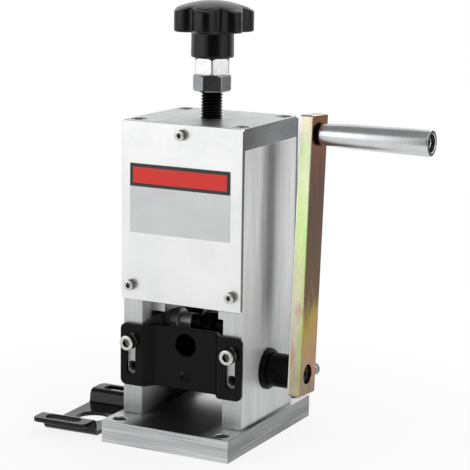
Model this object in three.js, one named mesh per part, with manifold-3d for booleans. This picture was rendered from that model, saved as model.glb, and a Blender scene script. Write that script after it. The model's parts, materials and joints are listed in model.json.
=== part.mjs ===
// Hand crank wire stripper: a bench machine that slits the insulation of a cable between a knurled
// drive roller, turned by a crank, and a round blade that a star knob sets to the cable's height.
//
// Millimetres, +Z up, origin in the middle of the base plate's underside.
// The cable goes in through the front guide plate, which faces -Y. The crank is on the +X side.

import * as THREE from 'three';
import * as BufferGeometryUtils from 'three/addons/utils/BufferGeometryUtils.js';
import Module from 'manifold-3d';

const wasm = await Module();
wasm.setup();

// Clearances
const FIT_GAP = 0.3; // between a round piece and its seat, and where a turned piece meets a fixed one
const SLIDE_GAP = 0.3; // on each side of a piece that slides

// Base plate
const BASE_WIDTH = 94;
const BASE_DEPTH = 122;
const BASE_THICKNESS = 15;
const BASE_HOLE_DIAMETER = 9;
const BASE_HOLE_INSET_X = 9; // from the plate's edge to the hole's centre
const BASE_HOLE_INSET_Y = 8.5;

// Two side plates and the top plate
const SIDE_GAP = 60; // clear width between the side plates
const SIDE_THICKNESS = 14;
const SIDE_DEPTH = 75;
const SIDE_HEIGHT = 183;
const TOP_THICKNESS = 14;
const GROOVE_DEPTH = 3; // vertical groove in each side plate, in which the blade carriage slides
const GROOVE_FOOT = 4; // the groove goes on this far below the carriage's cheeks at their lowest

// Front and rear covers
const COVER_THICKNESS = 3;
const COVER_HEIGHT = 118.5; // down from the top plate's upper face
const COVER_CORNER = 2;
const COVER_SCREW_RISE = 10; // of the lower screws above the cover's lower edge

// Blank label on the front cover
const LABEL_WIDTH = 73;
const LABEL_HEIGHT = 45.5;
const LABEL_THICKNESS = 0.4;
const LABEL_DROP = 27.7; // from the top plate's upper face to the label's upper edge
const LABEL_SHIFT = -1.1; // the label is stuck on a little left of the middle

// Guide plates: a sheet with a set-back panel between two slotted flanges
const GUIDE_LENGTH = 90; // across both flanges
const GUIDE_HEIGHT = 41.7;
const GUIDE_SHEET = 3;
const GUIDE_RECESS = 7.5; // of the panel behind the flanges
const GUIDE_BEND_START = 29.4; // from the middle to where a flange begins to bend
const GUIDE_BEND_ANGLE = 56; // degrees
const GUIDE_BEND_RADIUS = 2; // at the middle of the sheet
const GUIDE_CORNER = 4;
const GUIDE_FOOT = 20.1; // of the guide's lower edge above the base plate
const GUIDE_SLOT_WIDTH = 6.6;
const GUIDE_SLOT_LENGTH = 28.5;
const GUIDE_SLOT_FOOT = 7.4; // of the slot's lower end above the guide's lower edge
const GUIDE_LARGE_HOLE = 15;
const GUIDE_LARGE_HOLE_RISE = 30.2; // of the hole's centre above the guide's lower edge
const GUIDE_SMALL_HOLE = 7.5;
const GUIDE_SMALL_HOLE_RISE = 9.1;
const GUIDE_SCREW_RISE = 29.9; // of the clamping screws above the guide's lower edge, as it is set
const SPARE_TAPPED_RISE = 32.5; // of the second pair of tapped holes above the base plate
const TAPPED_DEPTH = 16;

// Spare guide plate for thick cables, lying on the bench on its panel
const SPARE_LENGTH = 95;
const SPARE_HEIGHT = 40;
const SPARE_RECESS = 9.2;
const SPARE_BEND_START = 34.6;
const SPARE_BEND_ANGLE = 82; // degrees
const SPARE_BEND_RADIUS = 3; // at the middle of the sheet
const SPARE_SLOT_WIDTH = 9;
const SPARE_SLOT_LENGTH = 26;
const SPARE_SLOT_SPREAD = 79; // wide enough slots to go on the guide screws as well
const SPARE_HOLE = 22;
const SPARE_X = -76.9;
const SPARE_Y = -22.8;
const SPARE_TURN = 2; // degrees

// Crank shaft and what sits on it
const CRANK_RISE = 33.2; // of the shaft's axis above the base plate
const SHAFT_DIAMETER = 12.5;
const SHAFT_END_RECESS = 2; // of the shaft's end behind the crank arm's outer face
const BUSH_WALL = 2.2;
const BUSH_LENGTH = 10;
const HOUSING_FLANGE_DIAMETER = 27.4;
const HOUSING_FLANGE_THICKNESS = 4;
const HOUSING_WALL = 2.2; // of the housing's barrel, in the side plate
const SLEEVE_DIAMETER = 22.4;
const SLEEVE_LENGTH = 15.9;
const ROLLER_DIAMETER = 19.2;
const ROLLER_LENGTH = 36;
const ROLLER_TEETH = 36;
const ROLLER_TOOTH_DEPTH = 0.6;
const SPACER_WALL = 2;

// Crank arm and handle
const ARM_WIDTH = 24;
const ARM_THICKNESS = 9;
const ARM_THROW = 157.6; // from the shaft's axis to the handle's axis
const ARM_END_BELOW = 13.6; // of the arm beyond the shaft's axis
const ARM_END_ABOVE = 12.5; // of the arm beyond the handle's axis
const ARM_CORNER = 1.6;
const ARM_LEAN = 3.6; // degrees, backwards, as the crank stands
const CLAMP_SCREW_PROUD = 2.9; // of the clamping screw's head behind the arm's rear edge
const WASHER_DIAMETER = 15;
const WASHER_THICKNESS = 1.2;
const GRIP_LENGTH = 75.2;
const GRIP_NECK_DIAMETER = 13.8;
const GRIP_WAIST_DIAMETER = 16;
const GRIP_END_DIAMETER = 17.2;
const GRIP_NECK_LENGTH = 30; // from the arm's side to the end of the quick taper
const HANDLE_BOLT_SHOULDER = 8;
const HANDLE_BOLT_THREAD = 6;
const HANDLE_BOLT_HEAD = 11;
const HANDLE_BOLT_HEAD_HEIGHT = 4;
const HANDLE_BOLT_RECESS = 2; // of its head behind the grip's end

// Adjusting screw, nuts and knob
const ROD_DIAMETER = 14;
const THREAD_PITCH = 2;
const THREAD_DEPTH = 1.1;
const ROD_EXPOSED = 17.5; // of thread between the top plate and the lower nut
const NUT_FLATS = 22;
const NUT_HEIGHT = 11;
const NUT_CHAMFER = 1.2;
const LOWER_NUT_TURN = 27; // degrees, a flat towards the front right
const UPPER_NUT_TURN = 57; // degrees, a corner towards the front right
const KNOB_HUB_DIAMETER = 28.1;
const KNOB_HUB_HEIGHT = 17;
const KNOB_HEAD_HEIGHT = 13.8; // at a lobe's tip
const KNOB_LOBES = 7;
const KNOB_DIAMETER = 53.6;
const KNOB_CREASE_DIAMETER = 41.6; // where two lobes meet
const KNOB_DOME = 6.2; // of the head's middle above a lobe's tip
const KNOB_TURN = -76; // degrees, of one lobe from +X
const KNOB_BORE_DEPTH = 13;
const NECK_DIAMETER = 9;
const BUTTON_DIAMETER = 13.5; // the button at the rod's lower end, which carries the blade carriage
const BUTTON_HEIGHT = 4.4;

// Blade carriage: a block with two cheeks, and a lug below each that holds the blade's axle
const BLADE_RISE = 24.8; // of the axle's axis above the crank shaft's, as the machine is set
const CARRIAGE_DEPTH = 50;
const CARRIAGE_HEIGHT = 66;
const CHEEK_FOOT = 11; // of the cheeks' lower ends above the axle's axis
const CHEEK_GAP = 40; // clear width between the cheeks
const CHEEK_LENGTH = 11;
const LUG_THICKNESS = 3.6;
const LUG_SIDE_GAP = 0.4; // between a lug and the side plate
const LUG_DIAMETER = 19;
const RETAINER_WIDTH = 44;
const RETAINER_DEPTH = 30;
const RETAINER_THICKNESS = 4;
const RETAINER_SCREW_SPREAD = 30; // between the two screws
const LOWEST_TRAVEL = 1; // of the carriage below where it is set

// Blade and its axle
const BLADE_DIAMETER = 28;
const BLADE_THICKNESS = 1.6;
const BLADE_BEVEL = 3;
const AXLE_DIAMETER = 8;
const AXLE_COLLAR_DIAMETER = 17;
const HUB_DIAMETER = 12;
const HUB_FLANGE_DIAMETER = 20;
const HUB_FLANGE_THICKNESS = 4;
const BLADE_NUT_FLATS = 18;
const BLADE_NUT_HEIGHT = 6;

// Socket screws: thread, head diameter, head height, socket across flats, length under the head
const M6 = { thread: 6, head: 10, headHeight: 6, socket: 5, length: 20 };
const M6_GUIDE = { thread: 6, head: 10, headHeight: 6, socket: 5, length: 16 };
const M4 = { thread: 4, head: 7, headHeight: 4, socket: 3, length: 10 };
const TOP_SCREW_INSET = 6.5; // from the top plate's front or rear edge
const BASE_SCREW_INSET = 15.5; // from the side plate's front or rear edge
const COUNTERBORE_GAP = 0.5; // around a head, and above it
const SCREW_CHAMFER = 0.5;

// Facets
const ROUND = 24;
const MEDIUM_ROUND = 18;
const BLADE_ROUND = 32;
const SMALL_ROUND = 12;
const BEND_STEPS = 3;
const CORNER_STEPS = 3;

// Places that follow from the sizes above
const BASE_TOP = BASE_THICKNESS;
const SIDE_TOP = BASE_TOP + SIDE_HEIGHT;
const TOP = SIDE_TOP + TOP_THICKNESS;
const INNER_X = SIDE_GAP / 2;
const OUTER_X = INNER_X + SIDE_THICKNESS;
const PLATE_X = INNER_X + SIDE_THICKNESS / 2;
const FACE_Y = SIDE_DEPTH / 2;
const COVER_FOOT = TOP - COVER_HEIGHT;
const GUIDE_BOTTOM = BASE_TOP + GUIDE_FOOT;
const GUIDE_SCREW_Z = GUIDE_BOTTOM + GUIDE_SCREW_RISE;
const CRANK_Z = BASE_TOP + CRANK_RISE;
const BLADE_Z = CRANK_Z + BLADE_RISE;
const CHEEK_Z = BLADE_Z + CHEEK_FOOT;
const CARRIAGE_TOP = CHEEK_Z + CARRIAGE_HEIGHT;
const GROOVE_FOOT_Z = CHEEK_Z - LOWEST_TRAVEL - GROOVE_FOOT;
const SHAFT_RADIUS = SHAFT_DIAMETER / 2;
const SHAFT_BORE = SHAFT_RADIUS + FIT_GAP;
const BUSH_RADIUS = SHAFT_BORE + BUSH_WALL;
const HOUSING_BORE = BUSH_RADIUS + FIT_GAP;
const HOUSING_RADIUS = HOUSING_BORE + HOUSING_WALL;
const FLANGE_X = OUTER_X + HOUSING_FLANGE_THICKNESS;
const SLEEVE_X = FLANGE_X + FIT_GAP;
const ARM_X = SLEEVE_X + SLEEVE_LENGTH + FIT_GAP;
const ARM_OUTER_X = ARM_X + ARM_THICKNESS;
const WASHER_X = ARM_OUTER_X + FIT_GAP;
const GRIP_X = WASHER_X + WASHER_THICKNESS + FIT_GAP;
const GRIP_END_X = GRIP_X + GRIP_LENGTH;
const BOLT_HEAD_X = GRIP_END_X - HANDLE_BOLT_RECESS - HANDLE_BOLT_HEAD_HEIGHT;
const ROD_RADIUS = ROD_DIAMETER / 2;
const LOWER_NUT_Z = TOP + ROD_EXPOSED;
const UPPER_NUT_Z = LOWER_NUT_Z + NUT_HEIGHT;
const KNOB_Z = UPPER_NUT_Z + NUT_HEIGHT;
const KNOB_HEAD_Z = KNOB_Z + KNOB_HUB_HEIGHT;
const LUG_OUTER_X = INNER_X - LUG_SIDE_GAP;
const LUG_INNER_X = LUG_OUTER_X - LUG_THICKNESS;

// The screw that clamps the crank arm: its tip bears on the shaft, so its head stands off the arm.
const CLAMP_LENGTH = ARM_WIDTH / 2 + CLAMP_SCREW_PROUD - SHAFT_RADIUS - FIT_GAP;
const M5_CLAMP = { thread: 5, head: 8.5, headHeight: 5, socket: 4, length: CLAMP_LENGTH };

const MATERIALS = {
  satinAluminium: metal(0xc9cbcc, 0.42),
  brushedAluminium: metal(0xb9bbbc, 0.38),
  topAluminium: metal(0xa9abac, 0.45),
  zincPlatedSteel: metal(0xb7a878, 0.35),
  brightSteel: metal(0xd4d5d6, 0.22),
  brushedSteel: metal(0xb5b7b9, 0.3),
  darkSteel: metal(0x6f7071, 0.35),
  bladeSteel: metal(0x9b9da0, 0.25),
  bronze: metal(0xa9793a, 0.4),
  blackOxide: metal(0x17181a, 0.4),
  blackPaint: coating(0x1b1c1e, 0.35),
  blackPlastic: coating(0x111214, 0.22),
  labelFilm: coating(0xd9dadb, 0.4),
};

function metal(color, roughness) {
  return new THREE.MeshStandardMaterial({ color, roughness, metalness: 1 });
}

function coating(color, roughness) {
  return new THREE.MeshStandardMaterial({ color, roughness, metalness: 0 });
}

// A closed geometry as a solid that can be cut and joined.
function solid(geometry) {
  const bare = geometry.clone();
  bare.deleteAttribute('normal');
  bare.deleteAttribute('uv');
  const merged = BufferGeometryUtils.mergeVertices(bare, 1e-4);
  const corners = merged.index.array;
  const kept = [];
  for (let i = 0; i < corners.length; i += 3) {
    const [a, b, c] = [corners[i], corners[i + 1], corners[i + 2]];
    if (a !== b && b !== c && c !== a) {
      kept.push(a, b, c);
    }
  }
  const mesh = new wasm.Mesh({
    numProp: 3,
    vertProperties: new Float32Array(merged.attributes.position.array),
    triVerts: new Uint32Array(kept),
  });
  return new wasm.Manifold(mesh);
}

// A solid as a geometry with flat-shaded faces.
function geometryOf(body) {
  const mesh = body.getMesh();
  const geometry = new THREE.BufferGeometry();
  geometry.setAttribute('position', new THREE.BufferAttribute(mesh.vertProperties, 3));
  geometry.setIndex(new THREE.BufferAttribute(mesh.triVerts, 1));
  const flat = geometry.toNonIndexed();
  flat.computeVertexNormals();
  return flat;
}

function joined(first, ...others) {
  return others.reduce((body, other) => body.add(other), first);
}

function cut(first, ...tools) {
  return tools.reduce((body, tool) => body.subtract(tool), first);
}

// A box given by its lowest and highest corners.
function box(low, high) {
  const size = high.map((value, i) => value - low[i]);
  const geometry = new THREE.BoxGeometry(...size);
  geometry.translate(...low.map((value, i) => value + size[i] / 2));
  return solid(geometry);
}

// Directions that turn the lathe's Y axis and the extrusion's Z axis to a direction of the machine.
const DIRECTIONS = {
  x: new THREE.Vector3(1, 0, 0),
  y: new THREE.Vector3(0, 1, 0),
  z: new THREE.Vector3(0, 0, 1),
  '-y': new THREE.Vector3(0, -1, 0),
  '-z': new THREE.Vector3(0, 0, -1),
};

// A turned piece: profile points are [radius, place along the axis], from the low end to the high one.
function turned(profile, direction, at, segments = ROUND) {
  const points = profile.map(([radius, along]) => new THREE.Vector2(radius, along));
  const geometry = new THREE.LatheGeometry(points, segments);
  const turn = new THREE.Quaternion().setFromUnitVectors(DIRECTIONS.y, DIRECTIONS[direction]);
  geometry.applyQuaternion(turn);
  geometry.translate(...at);
  return solid(geometry);
}

function rod(radius, from, to, direction, at, segments = ROUND) {
  const profile = [[0, from], [radius, from], [radius, to], [0, to]];
  return turned(profile, direction, at, segments);
}

// An outline carried straight along an axis, from one place to another. The outline's own axes are
// X and Y along Z, X and Z along Y, and Y and Z along X.
function prism(shape, axis, from, to, steps = CORNER_STEPS) {
  const options = { depth: to - from, bevelEnabled: false, curveSegments: steps };
  const geometry = new THREE.ExtrudeGeometry(shape, options);
  if (axis === 'z') {
    geometry.translate(0, 0, from);
  }
  if (axis === 'y') {
    geometry.rotateX(Math.PI / 2);
    geometry.translate(0, to, 0);
  }
  if (axis === 'x') {
    geometry.applyMatrix4(new THREE.Matrix4().makeBasis(DIRECTIONS.y, DIRECTIONS.z, DIRECTIONS.x));
    geometry.translate(from, 0, 0);
  }
  return solid(geometry);
}

function roundedRectangle(x0, y0, x1, y1, radius) {
  const shape = new THREE.Shape();
  shape.moveTo(x0 + radius, y0);
  shape.lineTo(x1 - radius, y0);
  shape.absarc(x1 - radius, y0 + radius, radius, -Math.PI / 2, 0);
  shape.lineTo(x1, y1 - radius);
  shape.absarc(x1 - radius, y1 - radius, radius, 0, Math.PI / 2);
  shape.lineTo(x0 + radius, y1);
  shape.absarc(x0 + radius, y1 - radius, radius, Math.PI / 2, Math.PI);
  shape.lineTo(x0, y0 + radius);
  shape.absarc(x0 + radius, y0 + radius, radius, Math.PI, Math.PI * 1.5);
  return shape;
}

function hexagon(flats, turn = 0) {
  const radius = flats / Math.sqrt(3);
  const points = [];
  for (let i = 0; i < 6; i++) {
    const angle = turn + (i * Math.PI) / 3;
    points.push(new THREE.Vector2(radius * Math.cos(angle), radius * Math.sin(angle)));
  }
  return new THREE.Shape(points);
}

const machine = new THREE.Group();

function piece(name, body, material, parent = machine) {
  const mesh = new THREE.Mesh(geometryOf(body), material);
  mesh.name = name;
  parent.add(mesh);
  return mesh;
}

// A socket head screw with the seat of its head at the origin and its head towards the direction.
function socketScrew(size, direction, length = size.length) {
  const head = size.head / 2;
  const top = size.headHeight;
  const profile = [
    [0, -length],
    [size.thread / 2, -length],
    [size.thread / 2, 0],
    [head, 0],
    [head, top - SCREW_CHAMFER],
    [head - SCREW_CHAMFER, top],
    [0, top],
  ];
  const body = turned(profile, 'z', [0, 0, 0], SMALL_ROUND);
  const screw = cut(body, prism(hexagon(size.socket), 'z', top / 2, top + 1));
  const geometry = geometryOf(screw);
  const turn = new THREE.Quaternion().setFromUnitVectors(DIRECTIONS.z, DIRECTIONS[direction]);
  geometry.applyQuaternion(turn);
  return geometry;
}

function addScrew(name, size, direction, at, parent = machine, material = MATERIALS.brightSteel) {
  const mesh = new THREE.Mesh(socketScrew(size, direction), material);
  mesh.name = name;
  mesh.position.set(...at);
  parent.add(mesh);
}

function screwHole(size, direction, at, depth) {
  return rod(size.thread / 2 + FIT_GAP, -depth, 1, direction, at, SMALL_ROUND);
}

// A counterbore for a head whose seat is at the given point, open towards the direction.
function counterbore(size, direction, at) {
  const radius = size.head / 2 + COUNTERBORE_GAP;
  return rod(radius, 0, size.headHeight + COUNTERBORE_GAP + 1, direction, at, MEDIUM_ROUND);
}

const SIDES = [['left', -1], ['right', 1]];
const ENDS = [['front', -1], ['rear', 1]];
const TOP_SCREW_Y = FACE_Y - TOP_SCREW_INSET;
const TOP_SCREW_SEAT = TOP - M6.headHeight - COUNTERBORE_GAP;
const BASE_SCREW_Y = FACE_Y - BASE_SCREW_INSET;
const BASE_SCREW_SEAT = M6.headHeight + COUNTERBORE_GAP;
const COVER_SCREW_LOW_Z = COVER_FOOT + COVER_SCREW_RISE;
const COVER_SCREW_TOP_Z = SIDE_TOP + TOP_THICKNESS / 2;

function makeBasePlate() {
  let plate = box([-BASE_WIDTH / 2, -BASE_DEPTH / 2, 0], [BASE_WIDTH / 2, BASE_DEPTH / 2, BASE_THICKNESS]);
  const holeX = BASE_WIDTH / 2 - BASE_HOLE_INSET_X;
  const holeY = BASE_DEPTH / 2 - BASE_HOLE_INSET_Y;
  for (const [, sx] of SIDES) {
    for (const [, sy] of ENDS) {
      const holeAt = [sx * holeX, sy * holeY, 0];
      const mounting = rod(BASE_HOLE_DIAMETER / 2, -1, BASE_THICKNESS + 1, 'z', holeAt, SMALL_ROUND);
      const seat = [sx * PLATE_X, sy * BASE_SCREW_Y, BASE_SCREW_SEAT];
      plate = cut(plate, mounting, counterbore(M6, '-z', seat), screwHole(M6, '-z', seat, BASE_THICKNESS));
    }
  }
  piece('base_plate', plate, MATERIALS.satinAluminium);
}

function makeSidePlate(name, sx) {
  const near = sx * INNER_X;
  const far = sx * OUTER_X;
  const low = Math.min(near, far);
  const high = Math.max(near, far);
  let plate = box([low, -FACE_Y, BASE_TOP], [high, FACE_Y, SIDE_TOP]);
  const grooveY = CARRIAGE_DEPTH / 2 + SLIDE_GAP;
  const grooveX = INNER_X + GROOVE_DEPTH;
  plate = cut(plate, box([-grooveX, -grooveY, GROOVE_FOOT_Z], [grooveX, grooveY, SIDE_TOP + 1]));
  if (sx > 0) {
    plate = cut(plate, rod(HOUSING_RADIUS + FIT_GAP, INNER_X - 1, OUTER_X + 1, 'x', [0, 0, CRANK_Z]));
  } else {
    const pocket = INNER_X + BUSH_LENGTH + FIT_GAP;
    plate = cut(plate, rod(BUSH_RADIUS + FIT_GAP, -pocket, 1 - INNER_X, 'x', [0, 0, CRANK_Z]));
  }
  for (const [end, sy] of ENDS) {
    const out = sy < 0 ? '-y' : 'y';
    const face = sy * FACE_Y;
    plate = cut(
      plate,
      screwHole(M6, 'z', [sx * PLATE_X, sy * TOP_SCREW_Y, SIDE_TOP], M6.length),
      screwHole(M6, '-z', [sx * PLATE_X, sy * BASE_SCREW_Y, BASE_TOP], M6.length),
      screwHole(M4, out, [sx * PLATE_X, face, COVER_SCREW_LOW_Z], M4.length),
      screwHole(M6_GUIDE, out, [sx * PLATE_X, face, GUIDE_SCREW_Z], TAPPED_DEPTH),
      screwHole(M6_GUIDE, out, [sx * PLATE_X, face, BASE_TOP + SPARE_TAPPED_RISE], TAPPED_DEPTH),
    );
    const topSeat = [sx * PLATE_X, sy * TOP_SCREW_Y, TOP_SCREW_SEAT];
    addScrew(`top_screw_${end}_${name}`, M6, 'z', topSeat);
    const baseSeat = [sx * PLATE_X, sy * BASE_SCREW_Y, BASE_SCREW_SEAT];
    addScrew(`base_screw_${end}_${name}`, M6, '-z', baseSeat);
    const coverSeat = [sx * PLATE_X, sy * (FACE_Y + COVER_THICKNESS), COVER_SCREW_LOW_Z];
    addScrew(`${end}_cover_screw_${name}`, M4, out, coverSeat);
    const guideSeat = [sx * PLATE_X, sy * (FACE_Y + GUIDE_SHEET + FIT_GAP), GUIDE_SCREW_Z];
    addScrew(`${end}_guide_screw_${name}`, M6_GUIDE, out, guideSeat);
  }
  piece(`${name}_side_plate`, plate, MATERIALS.brushedAluminium);
}

function makeTopPlate() {
  let plate = box([-OUTER_X, -FACE_Y, SIDE_TOP], [OUTER_X, FACE_Y, TOP]);
  plate = cut(plate, rod(ROD_RADIUS + FIT_GAP, SIDE_TOP - 1, TOP + 1, 'z', [0, 0, 0]));
  for (const [end, sy] of ENDS) {
    const out = sy < 0 ? '-y' : 'y';
    plate = cut(plate, screwHole(M4, out, [0, sy * FACE_Y, COVER_SCREW_TOP_Z], M4.length));
    const coverSeat = [0, sy * (FACE_Y + COVER_THICKNESS), COVER_SCREW_TOP_Z];
    addScrew(`${end}_cover_screw_top`, M4, out, coverSeat);
    for (const [, sx] of SIDES) {
      const seat = [sx * PLATE_X, sy * TOP_SCREW_Y, TOP_SCREW_SEAT];
      plate = cut(plate, counterbore(M6, 'z', seat), screwHole(M6, 'z', seat, TOP_THICKNESS));
    }
  }
  piece('top_plate', plate, MATERIALS.topAluminium);
}

function makeCover(end, sy) {
  const inner = sy * FACE_Y;
  const outer = sy * (FACE_Y + COVER_THICKNESS);
  const outline = roundedRectangle(-OUTER_X, COVER_FOOT, OUTER_X, TOP, COVER_CORNER);
  let cover = prism(outline, 'y', Math.min(inner, outer), Math.max(inner, outer));
  const out = sy < 0 ? '-y' : 'y';
  const places = [[0, COVER_SCREW_TOP_Z], [-PLATE_X, COVER_SCREW_LOW_Z], [PLATE_X, COVER_SCREW_LOW_Z]];
  for (const [x, z] of places) {
    cover = cut(cover, screwHole(M4, out, [x, outer, z], COVER_THICKNESS + 1));
  }
  piece(`${end}_cover`, cover, MATERIALS.satinAluminium);
}

function makeLabel() {
  const high = TOP - LABEL_DROP;
  const face = -FACE_Y - COVER_THICKNESS;
  const left = LABEL_SHIFT - LABEL_WIDTH / 2;
  const right = LABEL_SHIFT + LABEL_WIDTH / 2;
  const label = box([left, face - LABEL_THICKNESS, high - LABEL_HEIGHT], [right, face, high]);
  piece('blank_label', label, MATERIALS.labelFilm);
}

// Half of the guide's middle line, from the middle of the panel to a flange's end, as points with
// their heading. The panel lies at y = recess and the flanges at y = 0.
function guideHalfLine({ length, bendStart, bendAngle, bendRadius: radius, recess }) {
  const bend = THREE.MathUtils.degToRad(bendAngle);
  const arcFall = radius * (1 - Math.cos(bend));
  const slope = (recess - 2 * arcFall) / Math.sin(bend);
  const run = 2 * radius * Math.sin(bend) + slope * Math.cos(bend);
  const wallX = bendStart - run;
  const line = [];
  for (let i = 0; i <= BEND_STEPS; i++) {
    const angle = (bend * i) / BEND_STEPS;
    const x = wallX + radius * Math.sin(angle);
    const y = recess - radius * (1 - Math.cos(angle));
    line.push({ x, y, heading: -angle });
  }
  for (let i = BEND_STEPS; i >= 0; i--) {
    const angle = (bend * i) / BEND_STEPS;
    const x = bendStart - radius * Math.sin(angle);
    const y = radius * (1 - Math.cos(angle));
    line.push({ x, y, heading: -angle });
  }
  line.push({ x: length / 2, y: 0, heading: 0 });
  return line;
}

// The guide sheet's cross-section: both flanks of the middle line, half a sheet to each side of it.
function guideSection(size) {
  const half = guideHalfLine(size);
  const mirrored = half.map(({ x, y, heading }) => ({ x: -x, y, heading: -heading })).reverse();
  const line = [...mirrored, ...half];
  const flank = (offset) =>
    line.map(({ x, y, heading }) => {
      const across = offset * Math.sin(heading);
      const up = offset * Math.cos(heading);
      return new THREE.Vector2(x - across, y + up);
    });
  return new THREE.Shape([...flank(-GUIDE_SHEET / 2), ...flank(GUIDE_SHEET / 2).reverse()]);
}

// A guide plate standing up, its flanges' back faces at y = 0, its lower edge at z = 0 and its
// panel set back towards +Y.
function guidePlate(size) {
  const { length, height, recess, slot, holes } = size;
  const reach = recess + GUIDE_SHEET + 1;
  const section = guideSection(size);
  const sheet = prism(section, 'z', 0, height).translate([0, -GUIDE_SHEET / 2, 0]);
  const halfLength = length / 2;
  const outline = roundedRectangle(-halfLength, 0, halfLength, height, GUIDE_CORNER);
  let guide = sheet.intersect(prism(outline, 'y', -reach, reach));
  for (const [, sx] of SIDES) {
    const x = (sx * slot.spread) / 2;
    const half = slot.width / 2;
    const hole = roundedRectangle(x - half, slot.foot, x + half, slot.foot + slot.length, half);
    guide = cut(guide, prism(hole, 'y', -reach, reach));
  }
  for (const { diameter, rise } of holes) {
    guide = cut(guide, rod(diameter / 2, -reach, reach, 'y', [0, 0, rise], MEDIUM_ROUND));
  }
  return guide;
}

function makeMountedGuide(end, sy) {
  const body = guidePlate({
    length: GUIDE_LENGTH,
    height: GUIDE_HEIGHT,
    bendStart: GUIDE_BEND_START,
    bendAngle: GUIDE_BEND_ANGLE,
    bendRadius: GUIDE_BEND_RADIUS,
    recess: GUIDE_RECESS,
    slot: {
      width: GUIDE_SLOT_WIDTH,
      length: GUIDE_SLOT_LENGTH,
      foot: GUIDE_SLOT_FOOT,
      spread: 2 * PLATE_X,
    },
    holes: [
      { diameter: GUIDE_LARGE_HOLE, rise: GUIDE_LARGE_HOLE_RISE },
      { diameter: GUIDE_SMALL_HOLE, rise: GUIDE_SMALL_HOLE_RISE },
    ],
  });
  const turn = sy < 0 ? 0 : 180;
  const placed = body.rotate([0, 0, turn]).translate([0, sy * FACE_Y, GUIDE_BOTTOM]);
  piece(`${end}_guide_plate`, placed, MATERIALS.blackPaint);
}

function makeSpareGuide() {
  const body = guidePlate({
    length: SPARE_LENGTH,
    height: SPARE_HEIGHT,
    bendStart: SPARE_BEND_START,
    bendAngle: SPARE_BEND_ANGLE,
    bendRadius: SPARE_BEND_RADIUS,
    recess: SPARE_RECESS,
    slot: {
      width: SPARE_SLOT_WIDTH,
      length: SPARE_SLOT_LENGTH,
      foot: (SPARE_HEIGHT - SPARE_SLOT_LENGTH) / 2,
      spread: SPARE_SLOT_SPREAD,
    },
    holes: [{ diameter: SPARE_HOLE, rise: SPARE_HEIGHT / 2 }],
  });
  const spare = new THREE.Group();
  spare.position.set(SPARE_X, SPARE_Y, 0);
  spare.rotation.z = THREE.MathUtils.degToRad(SPARE_TURN + 90);
  machine.add(spare);
  const centred = body.translate([0, -SPARE_RECESS, -SPARE_HEIGHT / 2]);
  const mesh = piece('spare_guide_plate', centred, MATERIALS.blackPaint, spare);
  mesh.rotation.x = -Math.PI / 2;
}

function tube(inner, outer, from, to, segments = ROUND) {
  const profile = [[inner, from], [outer, from], [outer, to], [inner, to], [inner, from]];
  return turned(profile, 'x', [0, 0, 0], segments);
}

function toothedRoller() {
  const tip = ROLLER_DIAMETER / 2;
  const root = tip - ROLLER_TOOTH_DEPTH;
  const points = [];
  for (let i = 0; i < ROLLER_TEETH * 2; i++) {
    const radius = i % 2 === 0 ? tip : root;
    const angle = (i * Math.PI) / ROLLER_TEETH;
    points.push(new THREE.Vector2(radius * Math.cos(angle), radius * Math.sin(angle)));
  }
  const toothed = prism(new THREE.Shape(points), 'x', -ROLLER_LENGTH / 2, ROLLER_LENGTH / 2);
  return cut(toothed, rod(SHAFT_BORE, -ROLLER_LENGTH, ROLLER_LENGTH, 'x', [0, 0, 0]));
}

function makeBearings() {
  const leftBush = tube(SHAFT_BORE, BUSH_RADIUS, -INNER_X - BUSH_LENGTH, -INNER_X).translate([0, 0, CRANK_Z]);
  piece('left_bush', leftBush, MATERIALS.bronze);
  const rightBush = tube(SHAFT_BORE, BUSH_RADIUS, INNER_X, FLANGE_X).translate([0, 0, CRANK_Z]);
  piece('right_bush', rightBush, MATERIALS.bronze);
  const flange = HOUSING_FLANGE_DIAMETER / 2;
  const profile = [
    [HOUSING_BORE, INNER_X],
    [HOUSING_RADIUS, INNER_X],
    [HOUSING_RADIUS, OUTER_X],
    [flange, OUTER_X],
    [flange, FLANGE_X - SCREW_CHAMFER],
    [flange - SCREW_CHAMFER, FLANGE_X],
    [HOUSING_BORE, FLANGE_X],
    [HOUSING_BORE, INNER_X],
  ];
  piece('bearing_housing', turned(profile, 'x', [0, 0, CRANK_Z]), MATERIALS.blackOxide);
}

// The arm in its own frame: the shaft's axis at the origin, the handle straight above it.
function crankArm() {
  const half = ARM_WIDTH / 2;
  const low = -ARM_END_BELOW;
  const high = ARM_THROW + ARM_END_ABOVE;
  const outline = roundedRectangle(-half, low, half, high, ARM_CORNER);
  const screwAt = [ARM_X + ARM_THICKNESS / 2, half, 0];
  return cut(
    prism(outline, 'x', ARM_X, ARM_OUTER_X),
    rod(SHAFT_BORE, ARM_X - 1, ARM_OUTER_X + 1, 'x', [0, 0, 0]),
    rod(HANDLE_BOLT_THREAD / 2 + FIT_GAP, ARM_X - 1, ARM_OUTER_X + 1, 'x', [0, 0, ARM_THROW], SMALL_ROUND),
    screwHole(M5_CLAMP, 'y', screwAt, half),
  );
}

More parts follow.
